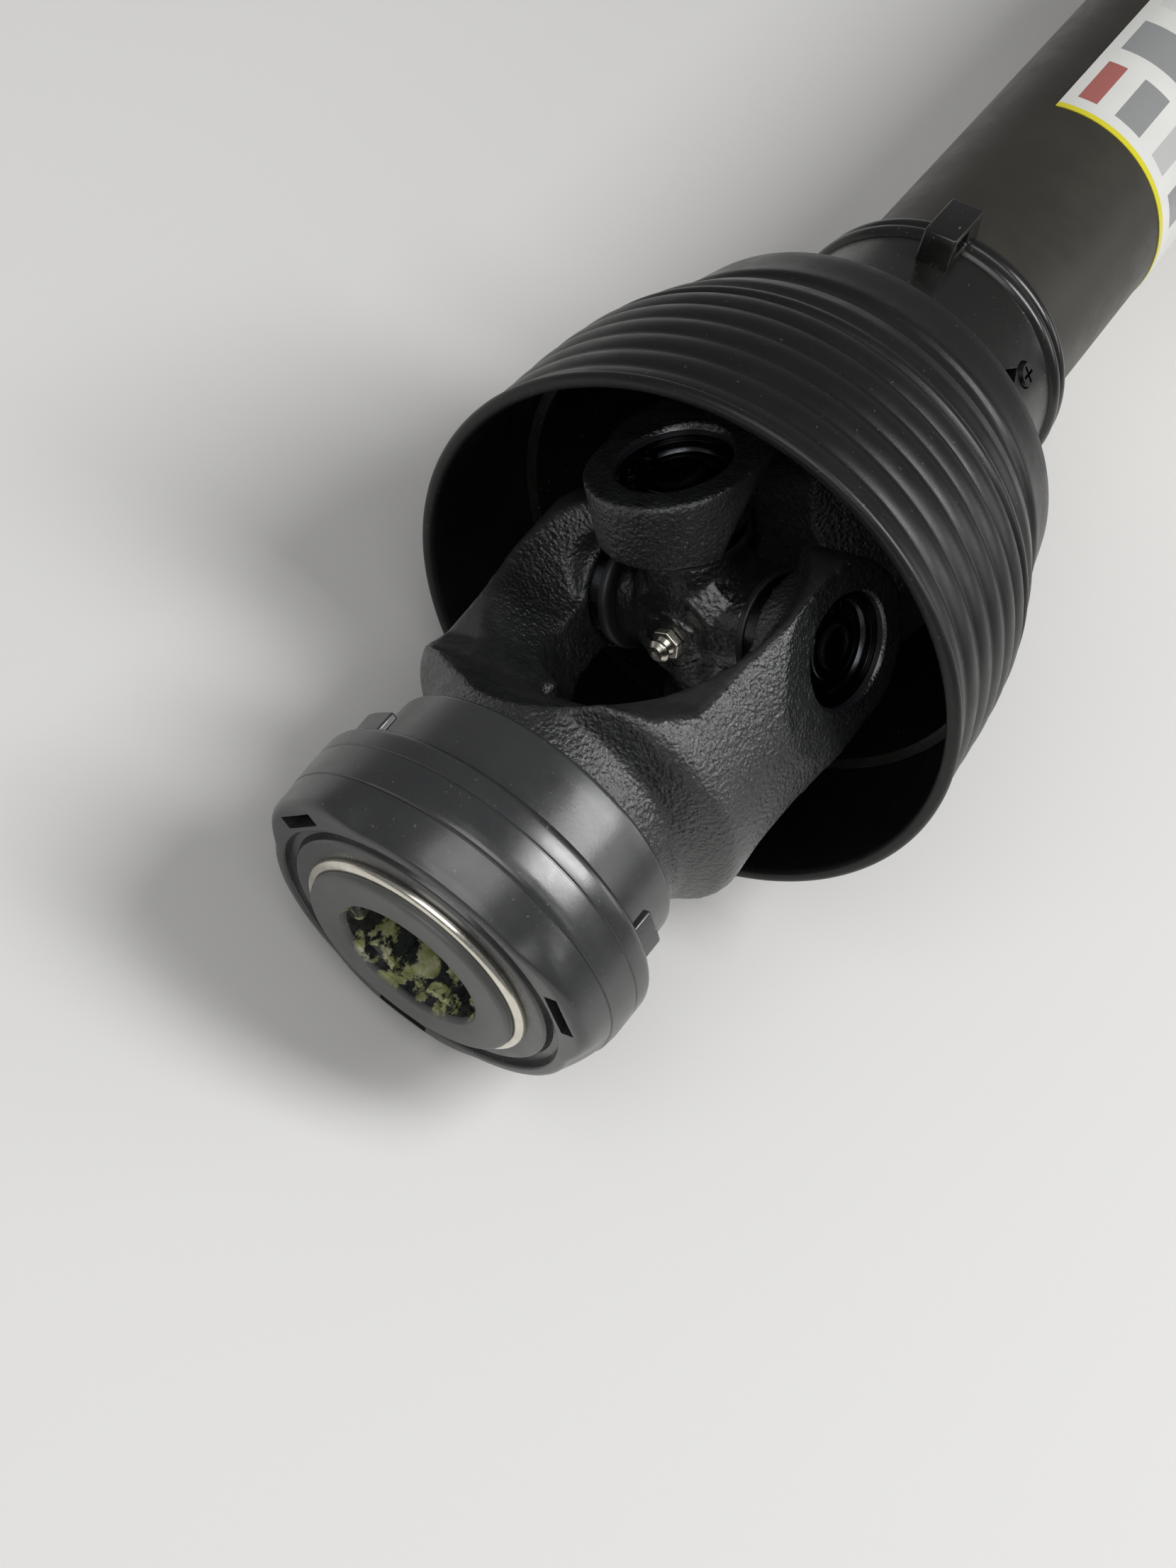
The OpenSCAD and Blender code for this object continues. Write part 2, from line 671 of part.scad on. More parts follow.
module guard_base(tube_d) {
    seat = skin_gap;
    out_front = [for (s = [base_front:5:cone_back - 4]) [cone_line(s) - cone_wall - 0.6 - seat, s]];
    beads = concat(
        arc_points(bead_top - bead_r, bead_1, bead_r, bead_start, bead_end, 8),
        arc_points(bead_top - bead_r - 0.6, bead_2, bead_r, bead_start, bead_end + 10, 8));
    neck_in = bearing_race;
    difference() {
        union() {
            rotate_extrude($fn = 144) polygon(concat(
                out_front,
                [[cone_back_r - 3.4, cone_back + 1], [cone_back_r - 6, cone_back + 3],
                    [band_r + 3, cone_back + 13], [band_r + 0.6, cone_back + 16],
                    [band_r - 1, bead_1 - 4]],
                beads,
                [[tube_d / 2 + 2.6, base_back], [tube_d / 2 + slide_gap, base_back],
                    [tube_d / 2 + slide_gap, guard_stop], [tube_d / 2 - guard_wall, guard_stop],
                    [tube_d / 2 - guard_wall, guard_stop - stop_t], [neck_in - 2, guard_stop - stop_t],
                    [neck_in - 2, bearing_z + bearing_w + 2.4], [neck_in, bearing_z + bearing_w + 1.4],
                    [neck_in, bearing_z - 1], [band_r + 0.6 - base_wall, cone_back + 13],
                    [cone_back_r - 6 - base_wall, cone_back + 1.4],
                    [cone_line(cone_back - 9) - cone_wall - 1 - base_wall, cone_back - 9],
                    [cone_line(40) - cone_wall - 0.9 - base_wall, 40],
                    [cone_line(base_front) - cone_wall - 0.9 - base_wall, base_front]]));
            rotate([0, 0, 180 + lug_a]) guard_lug();
            for (i = [0:5]) rotate([0, 0, 30 + 60 * i])
                translate([cone_line(peg_z) - cone_wall - base_wall - 3.6, 0, peg_z]) rotate([0, 90, 0])
                    cylinder(h = 3.5, r = peg_r, $fn = 24);
        }
        rotate([0, 0, 180 + lug_a]) translate([band_r - base_wall / 2 + 5.2, 0, lug_front + 8])
            rotate([90, 0, 0]) cylinder(h = lug_w + 2, d = lug_hole, center = true);
        for (i = [0:2]) rotate([0, 0, screw_a0 + 120 * i]) base_window();
        screw_holes();
        for (i = [0:2]) rotate([0, 0, screw_a0 + 120 * i]) translate([band_r - screw_sink, 0, screw_z])
            rotate([0, 90, 0]) cylinder(h = 6, r = screw_head_r + slide_gap);
    }
}

module guard_lug() {
    translate([band_r - 2.6, -lug_w / 2, lug_front]) difference() {
        cube([lug_top - band_r + 2.6, lug_w, base_back - lug_front + 1]);
        translate([lug_top - band_r + 2.6 - 5, -1, -1]) rotate([0, -25, 0]) translate([0, 0, -6])
            cube([20, lug_w + 2, 9]);
        translate([2.6 + 1.4, 2, 12]) cube([20, lug_w - 4, 7]);
    }
}

module base_window() {
    depth = base_wall + 4;
    translate([band_r - depth + 1, 0, 0]) rotate([90, 0, 90]) linear_extrude(height = depth + 4)
        polygon([[-4, 87.5], [4.5, 92], [-4, 95]]);
}

module screw_holes() {
    for (i = [0:2]) rotate([0, 0, screw_a0 + 120 * i]) translate([0, 0, screw_z]) rotate([0, 90, 0])
        cylinder(h = band_r + 4, r = screw_hole_r);
}

module guard_screws(tube_d) {
    head = band_r - screw_sink + seat_gap;
    tip = tube_d / 2 - guard_wall + seat_gap;
    for (i = [0:2]) rotate([0, 0, screw_a0 + 120 * i]) translate([0, 0, screw_z]) rotate([0, 90, 0])
        difference() {
            union() {
                translate([0, 0, head]) cylinder(h = 2, r1 = screw_head_r, r2 = screw_head_r - 0.6);
                translate([0, 0, tip]) cylinder(h = head - tip + 0.1, r = screw_r);
            }
            for (a = [0, 90]) rotate([0, 0, a]) translate([-2.2, -0.4, head + 1]) cube([4.4, 0.8, 2]);
        }
}

module guard_bearing() {
    ring_r = bearing_race - seat_gap;
    translate([0, 0, bearing_z + slide_gap]) rotate([0, 0, 20]) rotate_extrude(angle = 340)
        translate([shaft_hub_r - bearing_depth + slide_gap, 0])
            square([ring_r - shaft_hub_r + bearing_depth - slide_gap, bearing_w]);
}

module guard_tube(tube_d, tube_len) {
    difference() {
        translate([0, 0, guard_seat]) cylinder(h = tube_len, d = tube_d);
        translate([0, 0, guard_stop - 1]) cylinder(h = tube_len + 3, d = tube_d - 2 * guard_wall);
        screw_holes();
    }
}

module label() {
    translate([0, 0, label_front]) rotate([0, 0, label_a0]) rotate_extrude(angle = label_wrap)
        translate([guard_outer_d / 2 + fit_gap, 0]) square([label_t, label_len]);
}

// Nodes of one end
module end_nodes(side, flat_r, tip_r, tube_d, tube_len) {
    t = str("_", side);
    color("#3a3b3d") on_coupling(side) collar();
    color("#d8d6d0") on_coupling(side) collar_ring();
    color("#8a8c8e") on_coupling(side) collar_spring();
    for (i = [0:2])
        color("#b5b7b9") on_coupling(side) lock_ball(i);
    color("#2b2c2e") on_coupling(side) clutch_yoke();
    color("#3b3a38") on_cross(side) cross_body();
    color("#b9b6ae") on_cross(side) grease_nipple();
    color("#8f9092") on_coupling(side) both_ears() bearing_cup();
    color("#8f9092") on_shaft_yoke(side) both_ears() bearing_cup();
    color("#c2c4c6") on_coupling(side) both_ears() cup_needles();
    color("#c2c4c6") on_shaft_yoke(side) both_ears() cup_needles();
    color("#1d1d1e") on_coupling(side) both_ears() cup_seal();
    color("#1d1d1e") on_shaft_yoke(side) both_ears() cup_seal();
    color("#6e7072") on_coupling(side) both_ears() ear_circlip();
    color("#6e7072") on_shaft_yoke(side) both_ears() ear_circlip();
    color("#2b2c2e") on_shaft_yoke(side) shaft_yoke(flat_r, tip_r);
    color("#77787a") on_shaft_yoke(side) roll_pin();
    color("#9a9c9e") on_shaft_yoke(side) drive_tube(flat_r, tip_r);
    color("#e8e4d8") on_guard(side) guard_bearing();
    color("#2a2a2c") on_guard(side) guard_cone();
    color("#1c1c1e") on_guard(side) guard_base(tube_d);
    color("#8d8f91") on_guard(side) guard_screws(tube_d);
    color("#1f1f21") on_guard(side) guard_tube(tube_d, tube_len);
}

end_nodes("a", outer_flat_r, outer_tip_r, guard_outer_d, guard_outer_len);
end_nodes("b", inner_flat_r, inner_tip_r, guard_inner_d, guard_inner_len);
color("#e9e7df") on_guard("a") label();  // label_a
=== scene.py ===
# %% [markdown]
# # A guarded drive shaft with universal joints
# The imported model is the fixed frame. Every piece below is built in that frame, in metres, with the shaft
# along X and the floor at Z = 0. The forged, moulded and spun pieces are modelled again with their real
# edges and surfaces, and the rest of the frame keeps its shape and gets its material.

# %% The frame
import json
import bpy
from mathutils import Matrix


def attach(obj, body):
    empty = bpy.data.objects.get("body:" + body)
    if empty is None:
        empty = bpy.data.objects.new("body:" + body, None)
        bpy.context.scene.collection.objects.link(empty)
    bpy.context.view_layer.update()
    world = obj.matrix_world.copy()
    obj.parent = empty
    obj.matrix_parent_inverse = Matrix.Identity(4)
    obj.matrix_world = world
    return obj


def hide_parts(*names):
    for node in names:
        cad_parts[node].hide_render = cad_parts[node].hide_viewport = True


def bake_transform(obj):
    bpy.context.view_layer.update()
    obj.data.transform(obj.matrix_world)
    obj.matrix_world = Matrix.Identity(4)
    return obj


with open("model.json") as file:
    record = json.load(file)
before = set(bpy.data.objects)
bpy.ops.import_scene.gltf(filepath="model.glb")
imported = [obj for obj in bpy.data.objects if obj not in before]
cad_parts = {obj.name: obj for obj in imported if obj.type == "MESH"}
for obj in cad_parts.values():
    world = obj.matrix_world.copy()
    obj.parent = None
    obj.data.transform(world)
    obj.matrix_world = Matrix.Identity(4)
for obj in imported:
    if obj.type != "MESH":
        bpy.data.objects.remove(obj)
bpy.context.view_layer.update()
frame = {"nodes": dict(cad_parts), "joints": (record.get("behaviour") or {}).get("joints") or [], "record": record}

from math import *

import bmesh
import bpy
from mathutils import Matrix, Vector

NODES = frame["nodes"]

# %% [markdown]
# ## Frames of the shaft
# The joint centres lie 330 mm to each side of the middle, 70 mm above the floor. The shaft is rolled about
# its own axis, and each coupling droops until its collar lies on the floor. The joints of the frame give
# their axes, so the frames below follow the model.

# %% Frames
JOINTS = {j["name"]: j for j in frame["joints"]}


def end_frames(end):
    """Matrices from the local frames of one end to the row frame: coupling, cross, shaft yoke, guard."""
    centre = Vector(JOINTS["cross_swing_" + end]["pos_m"])
    out = Vector(JOINTS["collar_pull_" + end]["axis"]).normalized()
    inner = Vector(JOINTS["cross_swing_" + end]["axis"]).normalized()
    outer = Vector(JOINTS["coupling_swing_" + end]["axis"]).normalized()
    sign = -1 if end == "b" else 1
    along = Vector((sign, 0, 0))

    def basis(x, y, z):
        m = Matrix((x, y, z)).transposed().to_4x4()
        m.translation = centre
        return m

    return {
        "coupling": basis(outer.cross(out) * sign, outer, out),
        "cross": basis(inner, outer, inner.cross(outer) * sign),
        "yoke": basis(along.cross(inner) * -sign, inner, along),
        "guard": basis(Vector((0, 0, -1)), Vector((0, 1, 0)), along),
    }


FRAMES = {"a": end_frames("a"), "b": end_frames("b")}

# %% [markdown]
# ## Camera
# The camera stands where the photograph was taken: close to end A, above it and looking down along the
# shaft. The lens is given for the long side of the picture.

# %% Camera
right = Vector((0.5031, -0.7716, 0.3892))
down = Vector((-0.5950, -0.6359, -0.4916))
forward = Vector((0.6268, 0.0156, -0.7790))
cam_data = bpy.data.cameras.new("camera")
cam_data.sensor_fit = "VERTICAL"
cam_data.sensor_height = 36
cam_data.lens = 36 * 4000 / 2212
cam_data.clip_start = 0.05
cam_data.clip_end = 20
camera = bpy.data.objects.new("camera", cam_data)
bpy.context.collection.objects.link(camera)
pose = Matrix((right, -down, -forward)).transposed().to_4x4()
pose.translation = Vector((-0.7792, -0.0147, 0.5507))
camera.matrix_world = pose
bpy.context.scene.camera = camera

# %% [markdown]
# ## Materials
# One function turns a sRGB hex colour into linear values, and one adds a node with its inputs.

# %% Material helpers


def linear(hex_code, alpha=1.0):
    """sRGB hex to a linear RGBA tuple."""
    channels = [int(hex_code[i:i + 2], 16) / 255 for i in (1, 3, 5)]
    return tuple(c / 12.92 if c <= 0.04045 else ((c + 0.055) / 1.055) ** 2.4 for c in channels) + (alpha,)


def add(tree, kind, inputs=None, **settings):
    """Adds a node, sets its attributes and fills or links its inputs."""
    node = tree.nodes.new(kind)
    for key, value in settings.items():
        setattr(node, key, value)
    for key, value in (inputs or {}).items():
        if isinstance(value, bpy.types.NodeSocket):
            tree.links.new(value, node.inputs[key])
        else:
            node.inputs[key].default_value = value
    return node


def material(name, roughness, metallic=0.0, coat=0.0, specular=0.5):
    """A Principled material, its tree and its shader."""
    mat = bpy.data.materials.new(name)
    mat.use_nodes = True
    shader = mat.node_tree.nodes["Principled BSDF"]
    shader.inputs["Roughness"].default_value = roughness
    shader.inputs["Metallic"].default_value = metallic
    shader.inputs["Coat Weight"].default_value = coat
    shader.inputs["Coat Roughness"].default_value = 0.12
    shader.inputs["Specular IOR Level"].default_value = specular
    return mat, mat.node_tree, shader


def place_of(tree):
    return add(tree, "ShaderNodeTexCoord").outputs["Object"]


def noise(tree, size_mm, detail=3, rough=0.5, vector=None):
    """Noise whose features are about size_mm across."""
    return add(tree, "ShaderNodeTexNoise", {"Vector": vector or place_of(tree), "Scale": 1000 / size_mm,
                                            "Detail": detail, "Roughness": rough}).outputs["Fac"]


def ramp(tree, fac, *stops):
    """A colour ramp from (position, hex) stops."""
    node = add(tree, "ShaderNodeValToRGB", {"Fac": fac})
    while len(node.color_ramp.elements) < len(stops):
        node.color_ramp.elements.new(0.5)
    for element, (spot, color) in zip(node.color_ramp.elements, stops):
        element.position = spot
        element.color = linear(color)
    return node.outputs["Color"]


def spread(tree, value, low, high, to_low, to_high):
    """Maps a range of value to another range."""
    return add(tree, "ShaderNodeMapRange", {"Value": value, "From Min": low, "From Max": high,
                                            "To Min": to_low, "To Max": to_high}).outputs["Result"]


def blend_colors(tree, fac, first, second):
    node = add(tree, "ShaderNodeMix", data_type="RGBA")
    tree.links.new(fac, node.inputs[0])
    for index, value in ((6, first), (7, second)):
        if isinstance(value, str):
            node.inputs[index].default_value = linear(value)
        else:
            tree.links.new(value, node.inputs[index])
    return node.outputs[2]


def maths(tree, kind, *values):
    node = add(tree, "ShaderNodeMath", operation=kind)
    for index, value in enumerate(values):
        if isinstance(value, bpy.types.NodeSocket):
            tree.links.new(value, node.inputs[index])
        else:
            node.inputs[index].default_value = value
    return node.outputs[0]


def bump(tree, height, depth_mm, strength=1.0, normal=None):
    inputs = {"Height": height, "Distance": depth_mm / 1000, "Strength": strength}
    if normal:
        inputs["Normal"] = normal
    return add(tree, "ShaderNodeBump", inputs).outputs["Normal"]


def wire_up(tree, shader, color=None, rough=None, normal=None, coat_normal=None):
    for name, socket in (("Base Color", color), ("Roughness", rough), ("Normal", normal), ("Coat Normal", coat_normal)):
        if socket:
            tree.links.new(socket, shader.inputs[name])


def around(tree):
    """Height along the shaft in metres and the angle about it, from Object coordinates."""
    split = add(tree, "ShaderNodeSeparateXYZ", {"Vector": place_of(tree)})
    up = maths(tree, "SUBTRACT", split.outputs["Z"], 0.07)
    return split.outputs["X"], maths(tree, "ARCTAN2", split.outputs["Y"], up)


# %% [markdown]
# ## Finishes
# Each finish is named for the real material. Fine detail is noise in object space, sized in millimetres:
# pebbles of a casting, dust on moulded plastic, hair lines on drawn steel.

# %% Finishes
MATS = {}


def moulded(slot, dark, light, roughness, specular, grain_mm, depth_mm, dust=0.0, coat=0.0):
    """Moulded plastic: slight clouds in colour and gloss, a fine grain and a little dust."""
    mat, tree, shader = material(slot, roughness, coat=coat, specular=specular)
    cloud = noise(tree, 28, 4, 0.6)
    color = ramp(tree, cloud, (0.3, dark), (0.75, light))
    if dust:
        specks = spread(tree, noise(tree, 1.1, 2, 0.5), 0.70, 0.76, 0, dust)
        color = blend_colors(tree, specks, color, "#9c9a94")
    rough = spread(tree, noise(tree, 9, 5, 0.65), 0.3, 0.7, roughness - 0.05, roughness + 0.07)
    normal = bump(tree, noise(tree, grain_mm, 4, 0.6), depth_mm, 0.6)
    normal = bump(tree, noise(tree, 14, 2, 0.5), depth_mm * 6, 0.15, normal)
    wire_up(tree, shader, color, rough, normal)
    MATS[slot] = mat
    return mat


# satin moulded plastic of the collar
moulded("collar_plastic", "#262728", "#2e2f2f", 0.28, 0.9, 0.7, 0.02, dust=0.25)
# soft blow-moulded skin of the cone
moulded("cone_plastic", "#101010", "#171716", 0.36, 0.36, 1.2, 0.05, dust=0.15)
# hard glossy plastic of the base
moulded("base_plastic", "#141413", "#1b1a18", 0.24, 0.5, 2.0, 0.03, dust=0.3)
# nylon of the bearing ring
moulded("bearing_nylon", "#d6cfba", "#e2dccb", 0.42, 0.5, 0.8, 0.02)


def cast_paint(slot, dark, light, roughness, pebble_mm, depth_mm):
    """Thin paint over a rough casting; a smooth flank and machined bores come from the mesh's own values."""
    mat, tree, shader = material(slot, roughness, specular=0.85)
    machined = add(tree, "ShaderNodeAttribute", attribute_name="machined").outputs["Fac"]
    flank = add(tree, "ShaderNodeAttribute", attribute_name="flank").outputs["Fac"]
    cloud = noise(tree, 12, 4, 0.6)
    color = ramp(tree, cloud, (0.3, dark), (0.7, light))
    color = blend_colors(tree, maths(tree, "MULTIPLY", flank, 0.55), color, "#2b2b2b")
    color = blend_colors(tree, machined, color, "#26272a")
    rough = spread(tree, noise(tree, 3, 4, 0.6), 0.3, 0.7, roughness - 0.07, roughness + 0.1)
    rough = maths(tree, "ADD", rough, maths(tree, "MULTIPLY", flank, 0.14))
    skin = maths(tree, "SUBTRACT", 1.0, maths(tree, "MAXIMUM", machined, maths(tree, "MULTIPLY", flank, 0.8)))
    pebbles = add(tree, "ShaderNodeTexVoronoi", {"Vector": place_of(tree), "Scale": 1000 / pebble_mm,
                                                 "Smoothness": 0.7}, feature="SMOOTH_F1").outputs["Distance"]
    height = maths(tree, "ADD", maths(tree, "MULTIPLY", pebbles, 0.55), noise(tree, pebble_mm * 1.6, 5, 0.62))
    height = maths(tree, "MULTIPLY", height, skin)
    normal = bump(tree, height, depth_mm, 0.9)
    normal = bump(tree, noise(tree, 0.5, 2, 0.5), 0.012, 0.5, normal)
    wire_up(tree, shader, color, rough, normal)
    MATS[slot] = mat
    return mat


# black paint on the hot-forged yokes
cast_paint("yoke_paint", "#151617", "#242526", 0.24, 0.9, 0.5)
# the cross wears the same paint, thinner and glossier
cast_paint("cross_steel", "#0e0e0f", "#1a1a1a", 0.17, 1.2, 0.34)


def bare_steel(slot, dark, light, roughness, stretch=(1, 1, 1), line_mm=0.6, depth_mm=0.006):
    """Steel with hair lines from turning or drawing."""
    mat, tree, shader = material(slot, roughness, metallic=1.0)
    mapped = add(tree, "ShaderNodeMapping", {"Vector": place_of(tree), "Scale": stretch}).outputs["Vector"]
    lines = noise(tree, line_mm, 4, 0.6, mapped)
    color = ramp(tree, noise(tree, 7, 4, 0.6), (0.3, dark), (0.7, light))
    rough = spread(tree, lines, 0.3, 0.7, roughness - 0.06, roughness + 0.08)
    wire_up(tree, shader, color, rough, bump(tree, lines, depth_mm, 0.5))
    MATS[slot] = mat
    return mat


# bright drawn wire of the retaining ring
bare_steel("bright_wire", "#d0cbbd", "#efebdf", 0.2)
# plain spring steel
bare_steel("spring_steel", "#77797b", "#8f9193", 0.35)
# polished steel of balls and needles
bare_steel("ball_steel", "#9fa1a3", "#bdbfc1", 0.14)
# zinc plating of the grease nipple
bare_steel("nipple_steel", "#b5b1a4", "#d9d6cb", 0.24)
# oiled steel of the bearing cups
bare_steel("cup_steel", "#2e3033", "#494b4e", 0.26)
# phosphated circlips and roll pins
bare_steel("clip_steel", "#1d1e20", "#333437", 0.3)
# drawn steel of the drive tubes, lines along the shaft
bare_steel("tube_steel", "#6c6d6f", "#848587", 0.36, (0.04, 1, 1), 1.2, 0.01)
# dark steel screws
bare_steel("screw_steel", "#333436", "#46474a", 0.32)

# %% Hub with grease
mat, tree, shader = material("hub_steel", 0.4, specular=0.5)
machined = add(tree, "ShaderNodeAttribute", attribute_name="machined").outputs["Fac"]
smear = maths(tree, "MULTIPLY", spread(tree, noise(tree, 7, 5, 0.6), 0.5, 0.55, 0, 1), machined)
base = ramp(tree, noise(tree, 12, 4, 0.6), (0.3, "#535453"), (0.7, "#5f605e"))
bore = ramp(tree, noise(tree, 3, 4, 0.6), (0.35, "#17181a"), (0.7, "#3a3d3e"))
grease = ramp(tree, noise(tree, 4, 4, 0.6), (0.3, "#6c7045"), (0.5, "#9a9c6a"), (0.68, "#c3c4a0"))
color = blend_colors(tree, machined, base, bore)
color = blend_colors(tree, smear, color, grease)
rough = spread(tree, machined, 0, 1, 0.42, 0.2)
normal = bump(tree, noise(tree, 0.6, 3, 0.6), 0.01, 0.5)
normal = bump(tree, maths(tree, "MULTIPLY", smear, noise(tree, 2.5, 4, 0.6)), 0.6, 0.7, normal)
wire_up(tree, shader, color, rough, normal)
MATS["hub_steel"] = mat

# %% Seals, tube and label
mat, tree, shader = material("seal_rubber", 0.5, specular=0.5)
wire_up(tree, shader, ramp(tree, noise(tree, 4, 4, 0.6), (0.3, "#121212"), (0.7, "#1d1d1d")),
        spread(tree, noise(tree, 2, 3, 0.5), 0.3, 0.7, 0.36, 0.55), bump(tree, noise(tree, 0.8, 3, 0.6), 0.03, 0.6))
MATS["seal_rubber"] = mat

# extruded tube: faint lines along the shaft and a warm black
mat, tree, shader = material("tube_plastic", 0.42, specular=0.45)
along = add(tree, "ShaderNodeMapping", {"Vector": place_of(tree), "Scale": (0.02, 1, 1)}).outputs["Vector"]
lines = noise(tree, 1.6, 4, 0.6, along)
wire_up(tree, shader, ramp(tree, noise(tree, 40, 3, 0.5), (0.3, "#2a2823"), (0.7, "#35322b")),
        spread(tree, noise(tree, 10, 5, 0.65), 0.3, 0.7, 0.38, 0.5), bump(tree, lines, 0.03, 0.5))
MATS["tube_plastic"] = mat

# printed film: white with a yellow edge and plain grey and red bars where the print would be
mat, tree, shader = material("label_film", 0.3, coat=0.35, specular=0.5)
x, angle = around(tree)
s_mm = maths(tree, "MULTIPLY", maths(tree, "ADD", x, 0.33), 1000)
turn_deg = maths(tree, "MULTIPLY", angle, 57.2958)


def between(tree, value, low, high):
    return maths(tree, "MULTIPLY", maths(tree, "GREATER_THAN", value, low), maths(tree, "LESS_THAN", value, high))


film = ramp(tree, noise(tree, 30, 3, 0.5), (0.3, "#d6d6d1"), (0.7, "#e2e2de"))
color = film
for s0, s1, a0, a1, tone in ((204, 226, -62, -44, "#8f9090"), (204, 226, -34, -22, "#b9b9b7"), (204, 226, -12, 4, "#8f9090"),
                             (204, 226, 14, 24, "#a8625c"), (234, 252, -62, -30, "#b9b9b7"), (234, 252, -20, 24, "#8f9090"),
                             (262, 330, -62, 24, "#cfcfcb"), (204, 252, 34, 60, "#c4c4c1")):
    patch = maths(tree, "MULTIPLY", between(tree, s_mm, s0, s1), between(tree, turn_deg, a0, a1))
    color = blend_colors(tree, patch, color, tone)
from_middle = maths(tree, "ABSOLUTE", maths(tree, "ADD", turn_deg, 5.0))
off_side = maths(tree, "SUBTRACT", 1.0, between(tree, from_middle, 120.8, 126.1))
inside_edge = maths(tree, "MULTIPLY", between(tree, s_mm, 199.2, 344.8), off_side)
color = blend_colors(tree, inside_edge, "#d8cf2a", color)
wire_up(tree, shader, color, spread(tree, noise(tree, 8, 4, 0.6), 0.3, 0.7, 0.26, 0.38), bump(tree, noise(tree, 6, 3, 0.5), 0.05, 0.3))
MATS["label_film"] = mat

for part in frame["record"]["subparts"]:
    node = NODES[part["node"]]
    node.data.materials.clear()
    node.data.materials.append(MATS[part["material_slot"]])
print(len(MATS), "finishes on", len(NODES), "nodes")

# %% [markdown]
# ## Ways to make a piece
# Most pieces of a drive shaft are turned, moulded or forged. A turned or moulded ring is drawn as a profile,
# point by point, by extruding one vertex, and spun about its axis. A piece whose outline changes along its
# length is extruded ring by ring. Holes are cut with Boolean modifiers. Each piece is modelled once, about
# its own axis in millimetres, and then copied to where it sits.

# %% Helpers for drawn pieces
MM = 0.001


def only(obj):
    """Deselects everything else and makes obj active."""
    bpy.ops.object.select_all(action="DESELECT")
    obj.select_set(True)
    bpy.context.view_layer.objects.active = obj
    return obj


def arc(cx, cz, r, a0, a1, n):
    """Points on an arc, in mm and degrees."""
    return [(cx + r * cos(radians(a0 + (a1 - a0) * i / n)), cz + r * sin(radians(a0 + (a1 - a0) * i / n)))
            for i in range(n + 1)]


def tidy_mesh(threshold=0.000001):
    """In edit mode: joins doubles, closes open ends and turns the faces outwards."""
    bpy.ops.mesh.select_all(action="SELECT")
    bpy.ops.mesh.remove_doubles(threshold=threshold)
    bpy.ops.mesh.fill_holes(sides=0)
    bpy.ops.mesh.normals_make_consistent(inside=False)
    bpy.ops.object.mode_set(mode="OBJECT")


def soft(obj, angle=35):
    """Smooth shading that keeps edges sharper than angle."""
    only(obj)
    bpy.ops.object.shade_smooth_by_angle(angle=radians(angle))
    return obj


def lathe(name, profile, steps=144, turn=360.0, angle=35):
    """Draws a closed profile of (radius, height) in mm from one vertex and spins it about Z."""
    bpy.ops.object.select_all(action="DESELECT")
    bpy.ops.mesh.primitive_circle_add(vertices=3, radius=0.0001)
    obj = bpy.context.object
    obj.name = obj.data.name = name
    bpy.ops.object.mode_set(mode="EDIT")
    bpy.ops.mesh.select_all(action="SELECT")
    bpy.ops.mesh.merge(type="CENTER")
    here = (0, 0)
    for point in profile[:1] + profile[1:] + profile[:1]:
        step = ((point[0] - here[0]) * MM, 0, (point[1] - here[1]) * MM)
        bpy.ops.mesh.extrude_region_move(TRANSFORM_OT_translate={"value": step})
        here = point
    shape = bmesh.from_edit_mesh(obj.data)
    shape.verts.ensure_lookup_table()
    start = min(shape.verts, key=lambda v: v.index)
    bmesh.ops.delete(shape, geom=[start], context="VERTS")
    bmesh.update_edit_mesh(obj.data)
    bpy.ops.mesh.select_all(action="SELECT")
    bpy.ops.mesh.remove_doubles(threshold=0.0000005)
    bpy.ops.mesh.spin(steps=steps, angle=radians(turn), center=(0, 0, 0), axis=(0, 0, 1))
    tidy_mesh()
    return soft(obj, angle)


def stack(name, rings, angle=35):
    """Extrudes a ring of points in mm to each next ring; the last joins the first."""
    bpy.ops.object.select_all(action="DESELECT")
    count = len(rings[0])
    bpy.ops.mesh.primitive_circle_add(vertices=count, radius=0.01)
    obj = bpy.context.object
    obj.name = obj.data.name = name
    bpy.ops.object.mode_set(mode="EDIT")
    bpy.ops.mesh.select_all(action="SELECT")
    shape = bmesh.from_edit_mesh(obj.data)
    order = list(shape.verts)
    for number, ring in enumerate(rings + rings[:1]):
        if number:
            spots = {tuple(v.co): i for i, v in enumerate(order)}
            bpy.ops.mesh.extrude_region()
            shape = bmesh.from_edit_mesh(obj.data)
            order = [None] * count
            for vert in shape.verts:
                if vert.select:
                    order[spots[tuple(vert.co)]] = vert
        for vert, place in zip(order, ring):
            vert.co = Vector(place) * MM
        bmesh.update_edit_mesh(obj.data)
    tidy_mesh()
    return soft(obj, angle)


def block(lo, hi):
    """A cube primitive from corner to corner, in mm."""
    bpy.ops.object.select_all(action="DESELECT")
    bpy.ops.mesh.primitive_cube_add(size=1, location=[(a + b) / 2 * MM for a, b in zip(lo, hi)],
                                    scale=[(b - a) * MM for a, b in zip(lo, hi)])
    bpy.ops.object.transform_apply(location=True, rotation=True, scale=True)
    return bpy.context.object


def rod(r, z0, z1, sides=48):
    """A cylinder primitive along Z, in mm."""
    bpy.ops.object.select_all(action="DESELECT")
    bpy.ops.mesh.primitive_cylinder_add(vertices=sides, radius=r * MM, depth=(z1 - z0) * MM,
                                        location=(0, 0, (z0 + z1) / 2 * MM))
    bpy.ops.object.transform_apply(location=True, rotation=True, scale=True)
    return bpy.context.object


